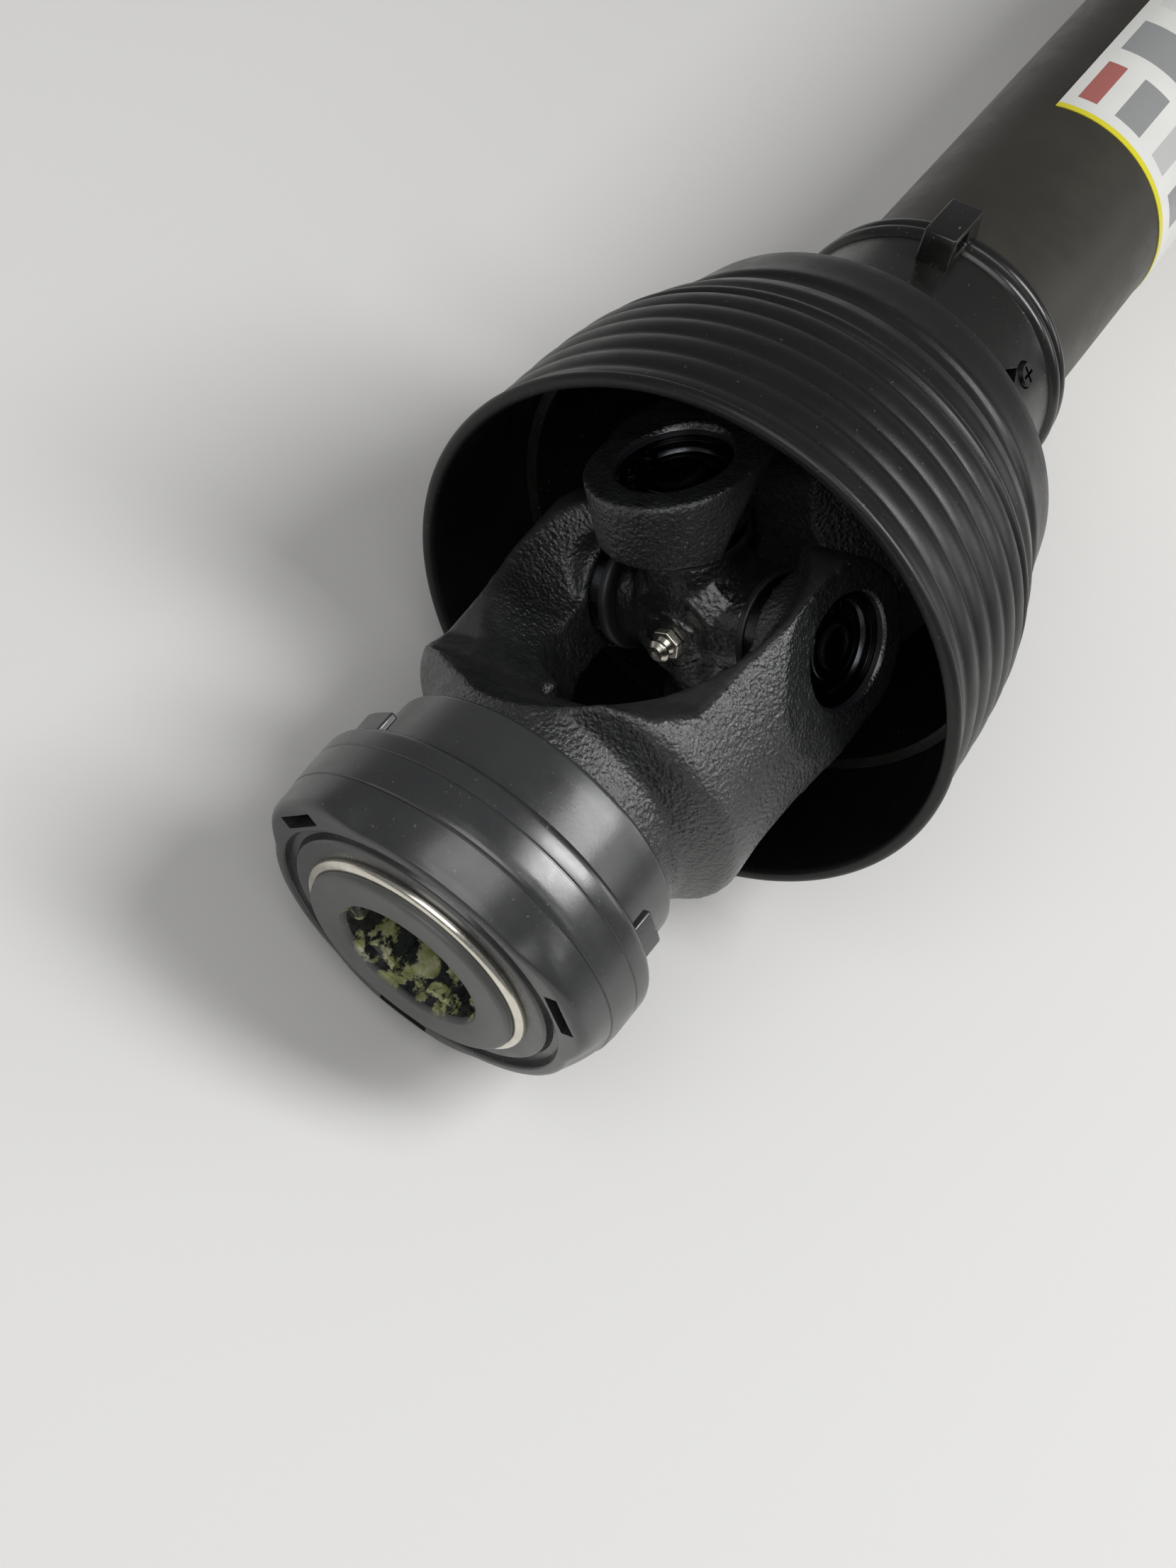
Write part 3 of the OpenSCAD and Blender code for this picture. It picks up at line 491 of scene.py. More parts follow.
def moved(obj, *matrices):
    """Moves the mesh itself, so that the object stays at the origin."""
    for matrix in matrices:
        obj.data.transform(matrix)
        if matrix.determinant() < 0:
            obj.data.flip_normals()
    return obj


def turn(degrees_, axis="Z"):
    return Matrix.Rotation(radians(degrees_), 4, axis)


def shift(x, y, z):
    return Matrix.Translation((x * MM, y * MM, z * MM))


def twin(obj, name, *matrices):
    """A copy with its own mesh, moved."""
    other = bpy.data.objects.new(name, obj.data.copy())
    bpy.context.collection.objects.link(other)
    return moved(other, *matrices)


def joined(first, *others):
    """Joins other objects into the first."""
    only(first)
    for other in others:
        other.select_set(True)
    bpy.ops.object.join()
    return first


def cut(obj, *cutters, how="DIFFERENCE"):
    """Boolean modifiers with each cutter, applied in turn."""
    for cutter in cutters:
        mod = obj.modifiers.new("cut", "BOOLEAN")
        mod.operation = how
        mod.solver = "EXACT"
        mod.object = cutter
        only(obj)
        bpy.ops.object.modifier_apply(modifier=mod.name)
        bpy.data.objects.remove(cutter)
    return obj


def bevelled(obj, width, segments=2, angle=35):
    """A Bevel modifier on the sharp edges, applied."""
    mod = obj.modifiers.new("bevel", "BEVEL")
    mod.width = width * MM
    mod.segments = segments
    mod.limit_method = "ANGLE"
    mod.angle_limit = radians(angle)
    mod.use_clamp_overlap = True
    only(obj)
    bpy.ops.object.modifier_apply(modifier=mod.name)
    return soft(obj, angle)


def finish_piece(obj, slot, body, *nodes, mat=None):
    """Gives obj its material, its body and the nodes that it stands for."""
    obj.data.materials.clear()
    obj.data.materials.append(mat or MATS[slot])
    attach(obj, body)
    if nodes:
        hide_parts(*nodes)
    return obj


def drop(*masters):
    for master in masters:
        bpy.data.objects.remove(master)


# %% [markdown]
# ## Forged pieces
# A forging has no sharp edge, because every corner is rounded by the die. The solid of the frame has the
# right form with crisp edges, so a merged copy of it is remeshed into even voxels and then smoothed. The
# bores would lose their edges that way, so they are plugged first and cut again afterwards, as a forging is
# machined after the hammer.

# %% Helpers for forgings


def merged_copy(node, name):
    """A copy of a CAD node with its loose triangles merged, as the start of a piece."""
    obj = bpy.data.objects.new(name, NODES[node].data.copy())
    bpy.context.collection.objects.link(obj)
    only(obj)
    bpy.ops.object.mode_set(mode="EDIT")
    bpy.ops.mesh.select_all(action="SELECT")
    bpy.ops.mesh.remove_doubles(threshold=0.000002)
    bpy.ops.object.mode_set(mode="OBJECT")
    return obj


def apply_all(obj):
    """Applies every modifier of obj in turn."""
    only(obj)
    for mod in list(obj.modifiers):
        bpy.ops.object.modifier_apply(modifier=mod.name)


def rounded(obj, voxel, passes, weight=None):
    """Remeshes obj at voxel millimetres and smooths it; weight(point) says how much, from 0 to 1."""
    remesh = obj.modifiers.new("voxels", "REMESH")
    remesh.mode = "VOXEL"
    remesh.voxel_size = voxel * MM
    remesh.adaptivity = 0
    apply_all(obj)
    smooth = obj.modifiers.new("smooth", "SMOOTH")
    smooth.factor = 0.5
    smooth.iterations = passes
    if weight:
        group = obj.vertex_groups.new(name="cast skin")
        for vert in obj.data.vertices:
            group.add([vert.index], weight(vert.co), "REPLACE")
        smooth.vertex_group = group.name
    apply_all(obj)
    bpy.ops.object.shade_smooth()
    print(obj.name, len(obj.data.polygons), "faces")
    return obj


def painted_zone(obj, name, value):
    """Keeps value(point) for each vertex, so that a material can tell skin from machined steel."""
    layer = obj.data.attributes.new(name, "FLOAT", "POINT")
    layer.data.foreach_set("value", [value(v.co) for v in obj.data.vertices])


# %% [markdown]
# ## Yokes
# Both yokes are hot forgings with a thin black paint coat: round bosses for the bearings, arms that run into
# a neck, and a crotch that clears the cross. The bosses' bores take the bearing cups, with a groove for an
# inside circlip near the mouth.

# %% Yokes
EAR_FACE, EAR_IN, BORE_R, CUP_TOP = 41.0, 24.5, 13.53, 37.3


def bore_tool():
    """The shape that a boring bar and a groove cutter take out of one ear, along Z."""
    tool = lathe("bore tool", [(0, 14), (BORE_R, 14), (BORE_R, CUP_TOP + 0.05), (BORE_R + 0.9, CUP_TOP + 0.05),
                               (BORE_R + 0.9, CUP_TOP + 1.6), (BORE_R, CUP_TOP + 1.6), (BORE_R, EAR_FACE - 0.7),
                               (BORE_R + 1.0, EAR_FACE + 0.3), (BORE_R + 1.0, EAR_FACE + 6), (0, EAR_FACE + 6)], 96)
    return tool


def forged_yoke(node, name, place, slot, body, clear_from=None):
    """A yoke from its solid: plugged, remeshed, smoothed, and its ears bored again."""
    yoke = merged_copy(node, name)
    if clear_from is not None:
        only(yoke)
        bpy.ops.object.mode_set(mode="EDIT")
        bpy.ops.mesh.select_all(action="SELECT")
        bpy.ops.mesh.bisect(plane_co=place @ Vector((0, 0, clear_from * MM)),
                            plane_no=place.to_3x3() @ Vector((0, 0, 1)), clear_outer=True, use_fill=True)
        bpy.ops.object.mode_set(mode="OBJECT")
    plugs = []
    for side in (90, -90):
        plugs.append(moved(rod(BORE_R + 1.6, EAR_IN + 0.4, EAR_FACE - 0.02, 64), turn(side, "X"), place))
    joined(yoke, *plugs)
    back = place.inverted()

    def weight(point):
        p = back @ point / MM
        hub = min(1, max(0, ((clear_from or 64) - 1.5 - p.z) / 2))
        inside = min(1, max(0, (hypot(p.x, p.y) - 18.5) / 2)) if p.z > 36 else 1.0
        return min(hub, inside)

    rounded(yoke, 0.8, 9, weight)
    for side in (90, -90):
        cut(yoke, moved(bore_tool(), turn(side, "X"), place))

    def machined(point):
        p = back @ point / MM
        return 1.0 if hypot(p.x, p.z) < BORE_R + 0.2 and abs(p.y) > 20 else 0.0

    turned_back = back.to_3x3()

    def smooth_flank(point, normal):
        p, n = back @ point / MM, turned_back @ normal
        facing = min(1, max(0, (abs(n.x) - 0.5) / 0.35)) * min(1, max(0, (abs(p.x) - 14) / 6))
        return facing * min(1, max(0, (57 - p.z) / 5))

    painted_zone(yoke, "machined", machined)
    flank = yoke.data.attributes.new("flank", "FLOAT", "POINT")
    flank.data.foreach_set("value", [smooth_flank(v.co, v.normal) for v in yoke.data.vertices])
    soft(yoke, 50)
    finish_piece(yoke, slot, body, node)
    print(name, len(yoke.data.polygons), "faces after boring")


for end in "ab":
    forged_yoke("clutch_yoke_" + end, "coupling_yoke_" + end, FRAMES[end]["coupling"], "yoke_paint",
                "coupling_" + end, 69.5)
    forged_yoke("shaft_yoke_" + end, "tube_yoke_" + end, FRAMES[end]["yoke"], "yoke_paint", "half_" + end)

# %% [markdown]
# ## Splined hub
# The hub is turned from the same forging and then broached: six straight grooves with teeth between them, a
# short plain mouth that guides the shaft in, and a round groove for the wire ring. Its rings of points follow
# the grooves from the start, so the teeth stay crisp.

# %% Splined hub
TIP_R, ROOT_R, HALF_W, BALL_A = 14.95, 17.5, 4.4, 86
HUB_FACE, RING_Z, RING_MID = 113.6, 110.2, 27.7
angles = []
for k in range(6):
    middle = BALL_A + 60 * k
    root_half, tip_half = degrees(asin(HALF_W / ROOT_R)), degrees(asin(HALF_W / TIP_R))
    angles += [(middle - root_half + 2 * root_half * i / 6, True) for i in range(7)]
    angles += [(middle + tip_half + (60 - 2 * tip_half) * i / 6, False) for i in range(7)]


def toothed(z, tip_r):
    """A ring that follows the grooves and the teeth."""
    return [((ROOT_R if root else tip_r) * cos(radians(a)), (ROOT_R if root else tip_r) * sin(radians(a)), z)
            for a, root in angles]


def plain(z, r):
    """A round ring with the same points."""
    return [(r * cos(radians(a)), r * sin(radians(a)), z) for a, _ in angles]


rings = [toothed(67, TIP_R), toothed(109.9, TIP_R), toothed(110.6, TIP_R + 0.7), plain(110.6, ROOT_R + 0.02)]
rings += [plain(112.2, ROOT_R + 0.02), plain(HUB_FACE - 0.1, 18.5), plain(HUB_FACE, 18.8)]
rings += [plain(z, r) for r, z in arc(25.8, HUB_FACE - 1.2, 1.2, 90, 0, 5)]
rings += [plain(z, r) for r, z in arc(RING_MID, RING_Z, 1.53, 117, 243, 8)]
rings += [plain(108.7, 27), plain(90, 27), plain(67, 27)]
hub = stack("splined hub", rings, 30)
for i in range(3):
    cut(hub, moved(rod(4.7, 10, 29, 40), turn(90, "Y"), shift(0, 0, 94), turn(BALL_A + 120 * i)))
painted_zone(hub, "machined", lambda p: 1.0 if hypot(p.x, p.y) < 0.0177 else 0.0)
soft(hub, 30)
for end in "ab":
    piece = twin(hub, "splined_hub_" + end, FRAMES[end]["coupling"])
    finish_piece(piece, "yoke_paint", "coupling_" + end, "clutch_yoke_" + end, mat=MATS["hub_steel"])
print("hub", len(hub.data.polygons), "faces")
drop(hub)

# %% [markdown]
# ## Collar
# The collar is one thick moulding. Its wide bands are round, but the front rim swells into three lobes that
# give the fingers a hold: there the front face is flat and wide, and between them the rim is rounded off. Each
# ring of points therefore takes its radius from two profiles, one for a lobe and one for the rim between
# lobes, mixed by the angle. Windows and rear slots are cut last.

# %% Collar
FRONT, BACK, COLLAR_R, LOBE_R, LOBE_A = 109.5, 84.5, 44.4, 44.3, 26


def crown(z):
    return COLLAR_R - (z - 93) ** 2 / 52


def lobe_share(a):
    """1 in the middle of a lobe, 0 between two lobes."""
    off = (a - LOBE_A + 60) % 120 - 60
    out = 17.3 * cos(radians(off)) + sqrt(27 ** 2 - (17.3 * sin(radians(off))) ** 2)
    share = min(1, max(0, (out - 39.9) / 4.4))
    return share * share * (3 - 2 * share)


rim_plain = arc(crown(107.9) - 1.6, 107.9, 1.6, 90, 0, 6) + [(crown(z), z) for z in (106.6, 105.2, 103.8, 102.4, 101, 99.75)]
rim_lobe = arc(LOBE_R - 2.6, 106.6, 2.6, 90, 0, 9) + [(LOBE_R, 104), (LOBE_R, 102), (LOBE_R, 99.75)]
inside = [(34.75, 86.5), (27.15, 86.5), (27.15, 95.5), (28.9, 97.5), (28.9, 104), (27.15, 105.5), (27.15, 108.4)]
inside += arc(29, 107.9, 1.6, 150, 90, 4) + arc(33, 108.5, 1.0, 90, 10, 5) + [(34.3, 107.8), (34.6, 107.4)]
inside += [(36.3, 107.4), (36.6, 107.8)] + arc(37.6, 108.8, 0.7, 175, 90, 4)
outside = [(COLLAR_R + 0.02, 96), (COLLAR_R + 0.05, 91.1), (COLLAR_R - 0.1, 90.95), (COLLAR_R - 0.25, 90.85),
           (COLLAR_R - 0.25, 90.7), (COLLAR_R, 90.45), (COLLAR_R + 0.05, 90.1)]
outside += arc(COLLAR_R + 0.05 - 2.4, BACK + 2.4, 2.4, 0, -90, 6) + [(39.3, BACK), (38.6, BACK - 0.5)]
outside += [(38.2, 80), (37.6, 72)] + arc(36.1, 68.9, 1.4, 0, -90, 5) + [(34.75, 67.5)]

count = 192
rings = [[(r * cos(2 * pi * i / count), r * sin(2 * pi * i / count), z) for i in range(count)] for r, z in inside]


def mixed_ring(plain_point, lobe_point):
    ring = []
    for i in range(count):
        w = lobe_share(360 * i / count)
        r = plain_point[0] * (1 - w) + lobe_point[0] * w
        z = plain_point[1] * (1 - w) + lobe_point[1] * w
        ring.append((r * cos(2 * pi * i / count), r * sin(2 * pi * i / count), z))
    return ring


rings += [mixed_ring(a, b) for a, b in zip(rim_plain, rim_lobe)]
for drop_r, z in ((0.1, 99.65), (0.25, 99.5), (0.25, 99.4), (-0.1, 99.15), (-0.25, 98.8)):
    rings.append(mixed_ring((crown(z) - drop_r, z), (LOBE_R - max(drop_r, -0.05), z)))
rings += [mixed_ring((crown(z) + 0.2, z), (LOBE_R + 0.05, z)) for z in (98, 97)]
rings += [[(r * cos(2 * pi * i / count), r * sin(2 * pi * i / count), z) for i in range(count)] for r, z in outside]
collar = stack("collar", rings, 32)

WINDOW_IN, WINDOW_H, WINDOW_W = 38.2, 3.2, 13.0
TAB_IN, TAB_TOP, TAB_BACK = 41.3, 43.3, 79.5
tab = lathe("tab", [(TAB_IN, TAB_BACK), (TAB_TOP, TAB_BACK), (TAB_TOP, BACK + 3), (TAB_IN, BACK + 3)], 12, 14.0)
only(tab)
bpy.ops.object.mode_set(mode="EDIT")
bpy.ops.mesh.select_all(action="DESELECT")
shape = bmesh.from_edit_mesh(tab.data)
for edge in shape.edges:
    a, b = (v.co / MM for v in edge.verts)
    end_edge = min(abs(degrees(atan2(p.y, p.x)) - q) for p in (a, b) for q in (0, 14.0)) < 0.3
    edge.select_set(end_edge and max(a.z, b.z) < TAB_BACK + 0.1 and abs(hypot(a.x, a.y) - hypot(b.x, b.y)) > 1)
bmesh.update_edit_mesh(tab.data)
bpy.ops.mesh.bevel(offset=2.2 * MM, segments=6, affect="EDGES")
bpy.ops.object.mode_set(mode="OBJECT")
bevelled(tab, 0.5, 3)
moved(tab, turn(-7))

for i in range(3):
    at = turn(LOBE_A + 120 * i)
    cut(collar, moved(block((WINDOW_IN, -WINDOW_W / 2, FRONT - 16), (WINDOW_IN + WINDOW_H, WINDOW_W / 2, FRONT + 1)), at),
        moved(block((WINDOW_IN, -WINDOW_W / 2, BACK - 1), (WINDOW_IN + 1.6, WINDOW_W / 2, FRONT - 15)), at))
joined(collar, *[twin(tab, "tab", turn(LOBE_A + 11 + 120 * i)) for i in range(3)])
soft(collar, 32)
for end in "ab":
    piece = twin(collar, "lock_collar_" + end, FRAMES[end]["coupling"])
    finish_piece(piece, "collar_plastic", "lock_" + end, "collar_" + end)
print("collar", len(collar.data.polygons), "faces")
drop(collar, tab)

# %% [markdown]
# ## Wire ring
# A round wire bent to a ring snaps into the groove of the hub and keeps the collar on. Its gap points down.

# %% Wire ring
wire = lathe("wire", arc(RING_MID, RING_Z, 1.5, 0, 345, 23), 128, 352)
bevelled(wire, 0.4, 3, 60)
for end in "ab":
    piece = twin(wire, "wire_ring_" + end, turn(184), FRAMES[end]["coupling"])
    finish_piece(piece, "bright_wire", "coupling_" + end, "collar_ring_" + end)
drop(wire)

# %% [markdown]
# ## Collar spring
# The spring is wound from round wire. Its rear end rests on the yoke and its front end follows the collar, so
# it closes up when the collar is pulled back. It keeps the frame's form.

# %% Collar spring
for end in "ab":
    place = FRAMES[end]["coupling"]
    spring = merged_copy("collar_spring_" + end, "wound_spring_" + end)
    soft(spring, 40)
    spring.data.materials.clear()
    spring.data.materials.append(MATS["spring_steel"])
    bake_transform(spring)
    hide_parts("collar_spring_" + end)

# %% [markdown]
# ## Cross
# The cross is a small forging between the yokes: a round core, four arms and a hexagonal pad for the grease
# nipple. It takes the same way as the yokes, with finer voxels.

# %% Cross and nipple
for end in "ab":
    cross = merged_copy("cross_" + end, "joint_cross_piece_" + end)
    rounded(cross, 0.5, 14)
    pad = bevelled(rod(6.9, 9, 13.5, 6), 0.5, 3)
    joined(cross, moved(pad, turn(12), FRAMES[end]["cross"]))
    painted_zone(cross, "machined", lambda p: 0.0)
    painted_zone(cross, "flank", lambda p: 0.0)
    finish_piece(cross, "cross_steel", "joint_cross_" + end, "cross_" + end)

PAD_TOP = 13.5
hexagon = bevelled(moved(rod(4.05, PAD_TOP + 0.05, PAD_TOP + 2.2, 6), turn(12)), 0.35, 3)
head = lathe("head", [(0, PAD_TOP - 4.9), (2.45, PAD_TOP - 4.9), (2.45, PAD_TOP + 2.2), (2.6, PAD_TOP + 2.4),
                      (2.0, PAD_TOP + 3.3)] + arc(2.3, PAD_TOP + 4.4, 0.7, -60, 60, 6)
             + [(1.9, PAD_TOP + 5.8), (0.75, PAD_TOP + 5.95), (0.6, PAD_TOP + 5.4), (0, PAD_TOP + 5.3)], 40)
nipple = joined(head, hexagon)
for end in "ab":
    piece = twin(nipple, "nipple_" + end, FRAMES[end]["cross"])
    finish_piece(piece, "nipple_steel", "joint_cross_" + end, "grease_nipple_" + end)
drop(nipple)

# %% [markdown]
# ## Bearing cups, seals and circlips
# Each trunnion runs in a drawn cup full of needles. Its face has a pressed ring and a dish in the middle, and
# an inside circlip with two eyes lies in front of it. All are turned or bent, so they are lathed once and
# copied to the four ears of a joint.

# %% Cups, seals, circlips
CUP_R, CUP_IN = 13.5, 21.7
face = [(CUP_R, CUP_IN), (CUP_R, CUP_TOP - 0.9)] + arc(CUP_R - 0.9, CUP_TOP - 0.9, 0.9, 0, 90, 4)
face += [(11.6, CUP_TOP), (11.2, CUP_TOP - 0.3), (10.7, CUP_TOP - 1.1), (9.4, CUP_TOP - 1.1)]
face += arc(7.5, CUP_TOP - 0.95, 0.8, 0, 90, 4) + [(5.6, CUP_TOP - 0.15), (5.0, CUP_TOP - 0.5), (4.2, CUP_TOP - 1.0),
                                                    (2.0, CUP_TOP - 1.2), (0, CUP_TOP - 1.25)]
cup = lathe("cup", face + [(0, CUP_TOP - 3), (10.93, CUP_TOP - 3), (10.93, CUP_IN)], 96, angle=40)
seal = lathe("seal", [(8.0, 19.3), (12.6, 19.3)] + arc(12.9, 20.6, 1.3, -90, 0, 5)
             + [(14.2, 21.3), (13.9, 21.6), (12.3, 21.6), (11.8, 20.9), (11.2, 20.9), (10.8, 21.6), (8.0, 21.6)], 80)
clip = lathe("clip", [(11.5, CUP_TOP + 0.1), (14.25, CUP_TOP + 0.1), (14.25, CUP_TOP + 1.45),
                      (11.5, CUP_TOP + 1.45)], 96, 324)
eye = bevelled(lathe("eye", [(1.0, CUP_TOP + 0.1), (2.3, CUP_TOP + 0.1), (2.3, CUP_TOP + 1.45),
                             (1.0, CUP_TOP + 1.45)], 24), 0.15)
clip = joined(bevelled(moved(clip, turn(18)), 0.2), *[twin(eye, "eye", shift(10.7, 0, 0), turn(a)) for a in (22, -22)])
for end in "ab":
    for kind, place, body in (("outer", FRAMES[end]["coupling"], "coupling_"), ("inner", FRAMES[end]["yoke"], "half_")):
        for number, side in enumerate((90, -90)):
            tag = "_%s_%s%d" % (kind, end, number + 1)
            for master, word, slot, node in ((cup, "bearing_cup", "cup_steel", "cups_"), (seal, "cup_seal", "seal_rubber", "seals_"),
                                             (clip, "inside_circlip", "clip_steel", "circlips_")):
                piece = twin(master, word + tag, turn(side, "X"), place)
                finish_piece(piece, slot, body + end, node + kind + "_" + end)
print("cup", len(cup.data.polygons), "seal", len(seal.data.polygons), "circlip", len(clip.data.polygons), "faces")
drop(cup, seal, clip, eye)

# %% [markdown]
# ## Soft cone
# The cone is a blow-moulded skin with ribs that let it flex. One long profile holds the rolled mouth, six
# narrow ribs, two steps and the inner wall, and the spin makes the rest.

# %% Soft cone
MOUTH_R, REACH, CONE_WALL, PITCH, RIB_1 = 70.0, 13.8, 2.4, 7.75, -9.5


def cone_line(s):
    """Outer radius of the cone without its ribs, at s mm from the joint centre."""
    u = min(1, max(0, (s - 26) / 30))
    return cone_curve(s) - 3.0 * u * u * (3 - 2 * u)


def cone_curve(s):
    if s < 14:
        return MOUTH_R - 1.2 - (s + REACH) * 0.045
    if s < 60:
        return MOUTH_R - 2.45 - (s - 14) * 0.075 - (s - 14) ** 2 * 0.0022
    return MOUTH_R - 10.55 - (s - 60) * 0.2


def spaced(a, b, step):
    n = max(1, round(abs(b - a) / step))
    return [a + (b - a) * i / n for i in range(n + 1)]


rib_end = RIB_1 + 5.5 * PITCH
profile = [(MOUTH_R - 2.6, -REACH + 0.02)] + arc(MOUTH_R - 1.65, -REACH + 1.6, 1.58, -90, 50, 10)
for s in spaced(RIB_1 - PITCH / 2 + 0.4, rib_end, PITCH / 14):
    u = ((s - RIB_1) / PITCH + 0.5) % 1
    profile.append((cone_line(s) - 0.65 + 0.98 * max(sin(pi * u), 0) ** 0.8, s))
for s, lift in ((rib_end + 0.8, 0.1), (rib_end + 1.4, 0.45), (35.4, 0.5), (36.3, 0.4), (36.8, -0.1), (37.4, -0.7),
                (38.0, -0.9), (39.2, -0.7), (40.5, -0.3), (41.6, 0.25), (42.5, 0.52), (43.4, 0.6), (44.4, 0.5),
                (45.6, 0.42), (47, 0.35), (48, 0.1), (48.8, -0.4), (49.6, -0.9), (50.6, -1.15), (52, -1.2),
                (53.4, -1.1), (54.2, -0.7), (55, -0.1), (55.8, 0.3), (57, 0.4), (59, 0.35), (61, 0.3), (64, 0.3), (67.4, 0.28)):
    profile.append((cone_line(s) + lift, s))
profile += arc(52.9, 70.2, 1.7, 20, 90, 5)
profile += [(cone_line(s) - CONE_WALL - 0.6, s) for s in (69, 64, 59, 54, 49, 44, 39, 34, 29, 24)]
profile += [(cone_line(s) - CONE_WALL - 0.3, s) for s in (16, 8, 0, -7)] + [(MOUTH_R - 3.7, -REACH + 1.4), (MOUTH_R - 3.2, -REACH + 0.3)]
cone = lathe("cone", profile, 192, angle=50)
for end in "ab":
    piece = twin(cone, "ribbed_cone_" + end, FRAMES[end]["guard"])
    finish_piece(piece, "cone_plastic", "guard_" + end, "guard_cone_" + end)
print("cone", len(cone.data.polygons), "faces")
drop(cone)

# %% [markdown]
# ## Rigid base
# The base is a hard glossy moulding: an inner funnel that carries the cone, a neck round the bearing ring, two
# beads that stiffen the end, a lug for a chain, and triangular windows to the bearing. The shell is lathed,
# the lug is a cube with its corners bevelled, and the openings are cut.

# %% Rigid base
BAND_R, STOP, BEARING_Z, RACE_R = 37.2, 96.2, 84.0, 34.4


def base_profile(tube_r):
    """Outer side from front to back, then the inner side back again."""
    points = [(cone_line(s) - CONE_WALL - 0.9, s) for s in (24, 29, 34, 39, 44, 49, 54, 59, 64, 68)]
    points += [(50.8, 72.6), (48.8, 74.7), (46.2, 77.2), (43.6, 80.0), (41.3, 83.2), (39.6, 85.8), (38.3, 87.8),
               (37.7, 89.6), (37.4, 92), (36.9, 100), (36.35, 110.5)]
    points += arc(35.5, 115.6, 2.48, -68, 65, 10) + arc(34.9, 120.2, 2.48, -58, 78, 10)
    points += [(34.7, 123.2), (34.3, 123.9), (tube_r + 0.4, 124), (tube_r + 0.15, 123.6), (tube_r + 0.15, STOP),
               (tube_r - 2.2, STOP), (tube_r - 2.2, STOP - 1.6), (RACE_R - 2, STOP - 1.6), (RACE_R - 2, 93.4), (RACE_R, 92.4),
               (RACE_R, 83), (35.4, 84.6), (46.6, 73.2)]
    points += [(cone_line(s) - CONE_WALL - 1 - 2.4, s) for s in (63, 56, 48, 40, 32, 24.4)]
    return points


def base_lug():
    """The lug: a bridge of plastic along the shaft with an opening through it."""
    lug = block((34.6, -4.3, 104), (44.6, 4.3, 122.5))
    slope = moved(block((0, -8, -14), (24, 8, 0)), turn(-24, "Y"), shift(38, 0, 103.5))
    cut(lug, slope, block((38.4, -9, 108.2), (42.2, 9, 115.5)))
    return bevelled(lug, 0.8, 4, 30)


for end, tube_r in (("a", 32.0), ("b", 28.5)):
    base = lathe("base", base_profile(tube_r), 192, angle=30)
    for i in range(3):
        at = turn(98 + 120 * i)
        window = lathe("window", [(0, 0), (4.6, 0), (4.6, 12), (0, 12)], 3)
        moved(window, turn(60), Matrix.Scale(0.86, 4, (0, 1, 0)), turn(90, "Y"), shift(30, 0, 94.6), turn(-5), at)
        cut(base, window, moved(rod(3.55, 35.8, 44, 40), turn(90, "Y"), shift(0, 0, 101.5), at))
    joined(base, moved(base_lug(), turn(180 - 19.5)))
    pegs = []
    for i in range(6):
        peg = bevelled(rod(1.3, 0, 3.6, 20), 0.3, 2)
        pegs.append(moved(peg, turn(90, "Y"), shift(cone_line(31) - 8.5, 0, 31), turn(30 + 60 * i)))
    joined(base, *pegs)
    soft(base, 32)
    moved(base, FRAMES[end]["guard"])
    base.name = "guard_shell_" + end
    finish_piece(base, "base_plastic", "guard_" + end, "guard_base_" + end)
    print("base", len(base.data.polygons), "faces")

# %% [markdown]
# ## Guard tubes and label
# Both guard tubes are extruded and slide in each other. The wide one wears a printed sleeve, which stays
# plain here: white film with a yellow edge and grey bars in place of its print.

# %% Guard tubes and label
GUARD_WALL = 2.2
for end, tube_r, length in (("a", 32.0, 386.0), ("b", 28.5, 356.0)):
    z0, z1 = STOP + 0.05, STOP + 0.05 + length
    tube = lathe("tube", [(tube_r - GUARD_WALL, z0), (tube_r, z0)] + [(tube_r, z) for z in spaced(z0 + 40, z1 - 40, 40)]
                 + [(tube_r, z1 - 0.4), (tube_r - 0.4, z1), (tube_r - GUARD_WALL + 0.4, z1), (tube_r - GUARD_WALL, z1 - 0.4)], 160)
    moved(tube, FRAMES[end]["guard"])
    tube.name = "guard_sleeve_" + end
    finish_piece(tube, "tube_plastic", "guard_" + end, "guard_tube_" + end)

# %% [markdown]
# ## Stage
# A plain pale floor, a large soft lamp over the near side and a window-like lamp behind the shaft on its right.
# The room is darker on the left and above, which keeps the upper sides of the black plastic deep.

# %% Floor, light
BACKDROP = "#d9d9d7"
bpy.ops.mesh.primitive_plane_add(size=14, location=(0, 0, 0))
floor = bpy.context.object
floor.name = "floor"
floor_mat, tree, shader = material("pale_floor", 0.7, specular=0.2)
wire_up(tree, shader, ramp(tree, noise(tree, 900, 2, 0.4), (0.3, "#d9d8d5"), (0.7, "#dedddb")))
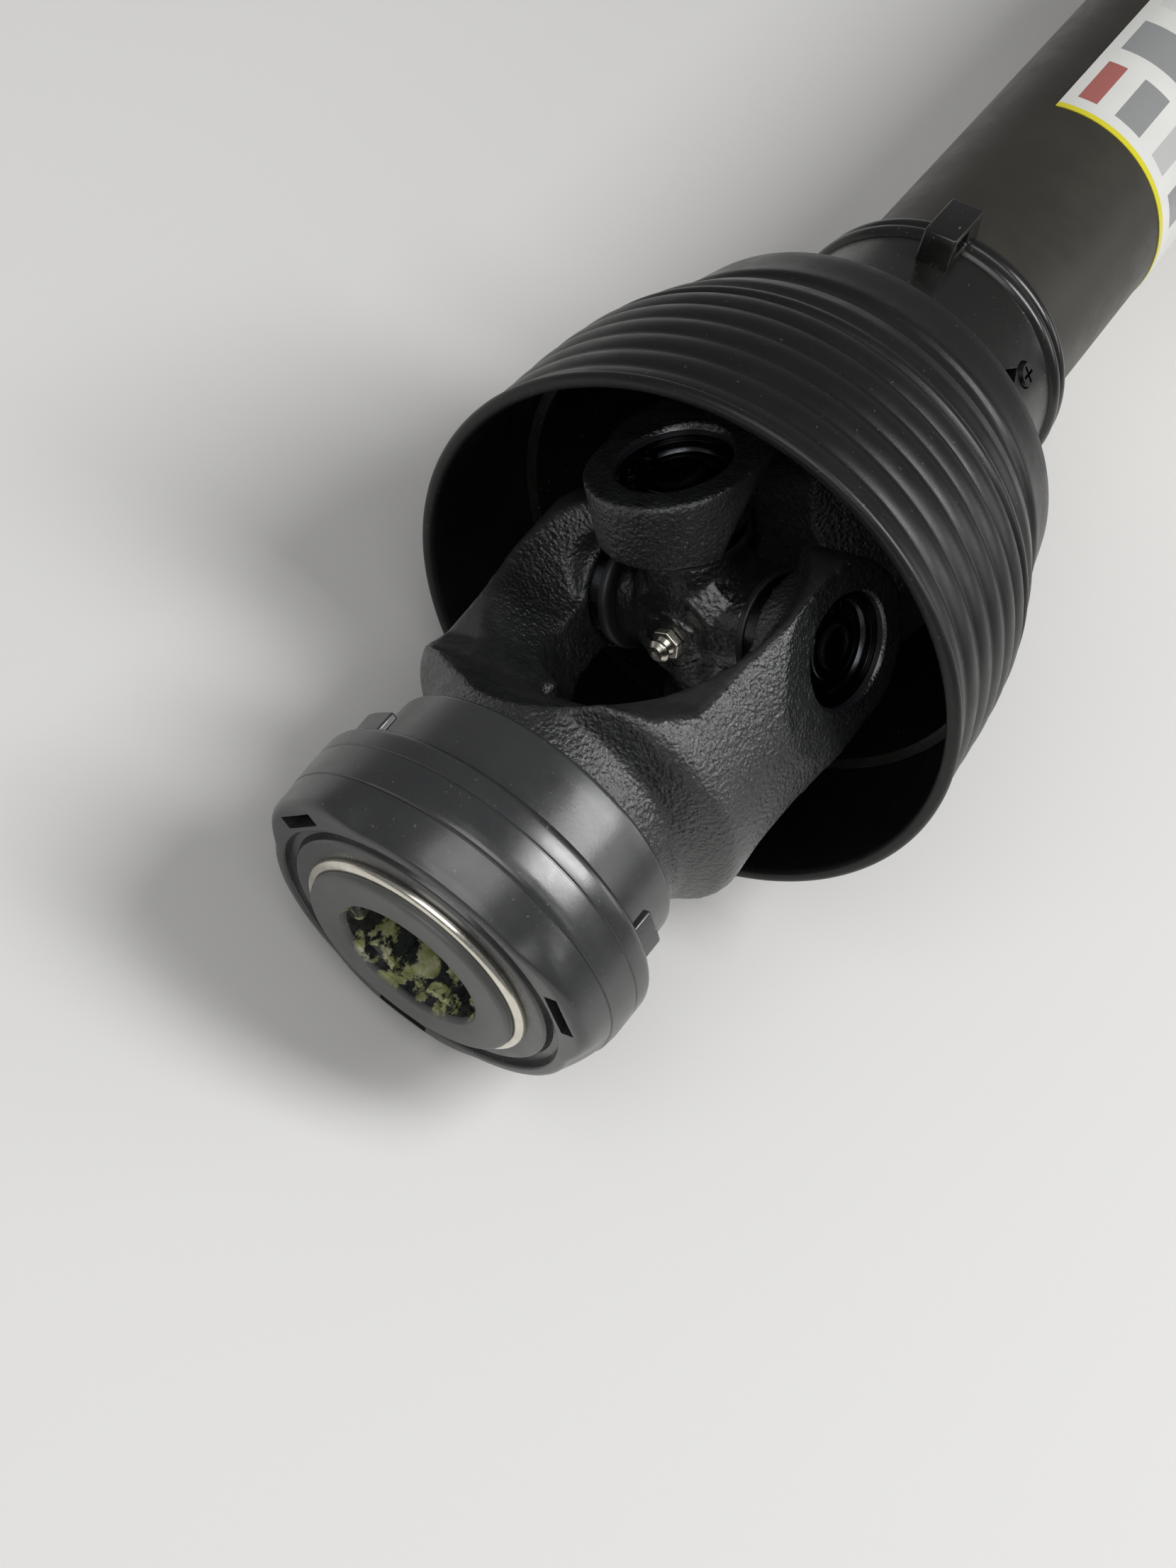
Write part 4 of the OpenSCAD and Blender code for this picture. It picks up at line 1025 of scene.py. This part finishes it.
# far from the shaft the floor fades into the pale backdrop, for the camera only
away = add(tree, "ShaderNodeVectorMath", {0: place_of(tree)}, operation="LENGTH").outputs["Value"]
fade = maths(tree, "MULTIPLY", spread(tree, away, 1.1, 2.0, 0, 1), add(tree, "ShaderNodeLightPath").outputs["Is Camera Ray"])
backdrop = add(tree, "ShaderNodeEmission", {"Color": linear(BACKDROP)}).outputs["Emission"]
mixed = add(tree, "ShaderNodeMixShader", {0: fade, 1: shader.outputs["BSDF"], 2: backdrop}).outputs["Shader"]
tree.links.new(mixed, tree.nodes["Material Output"].inputs["Surface"])
floor.data.materials.append(floor_mat)


def area_light(name, place, target, size, power, color=(1, 1, 1)):
    """An area light that faces its target."""
    data = bpy.data.lights.new(name, "AREA")
    data.shape = "RECTANGLE"
    data.size, data.size_y = size
    data.energy = power
    data.color = color
    obj = bpy.data.objects.new(name, data)
    bpy.context.collection.objects.link(obj)
    obj.location = place
    obj.rotation_euler = (Vector(target) - Vector(place)).to_track_quat("-Z", "Y").to_euler()
    return obj


area_light("soft box", (-0.17, -0.69, 1.33), (-0.4, 0, 0.05), (0.36, 0.85), 15)
area_light("window", (0.7, -1.3, 0.8), (-0.3, 0, 0.05), (0.8, 0.6), 4)
area_light("front lamp", (-1.3, 0.2, 1.2), (-0.35, 0, 0.05), (1.1, 1.1), 9)
world = bpy.data.worlds.new("studio")
bpy.context.scene.world = world
world.use_nodes = True
sky = world.node_tree
sky.nodes["Background"].inputs["Color"].default_value = (0.97, 0.97, 1.0, 1)
sky.nodes["Background"].inputs["Strength"].default_value = 0.2
pale = add(sky, "ShaderNodeBackground", {"Color": linear(BACKDROP), "Strength": 1.0}).outputs["Background"]
seen = add(sky, "ShaderNodeLightPath").outputs["Is Camera Ray"]
sky.links.new(add(sky, "ShaderNodeMixShader", {0: seen, 1: sky.nodes["Background"].outputs["Background"], 2: pale}).outputs["Shader"],
              sky.nodes["World Output"].inputs["Surface"])
bpy.context.scene.view_settings.view_transform = "Standard"
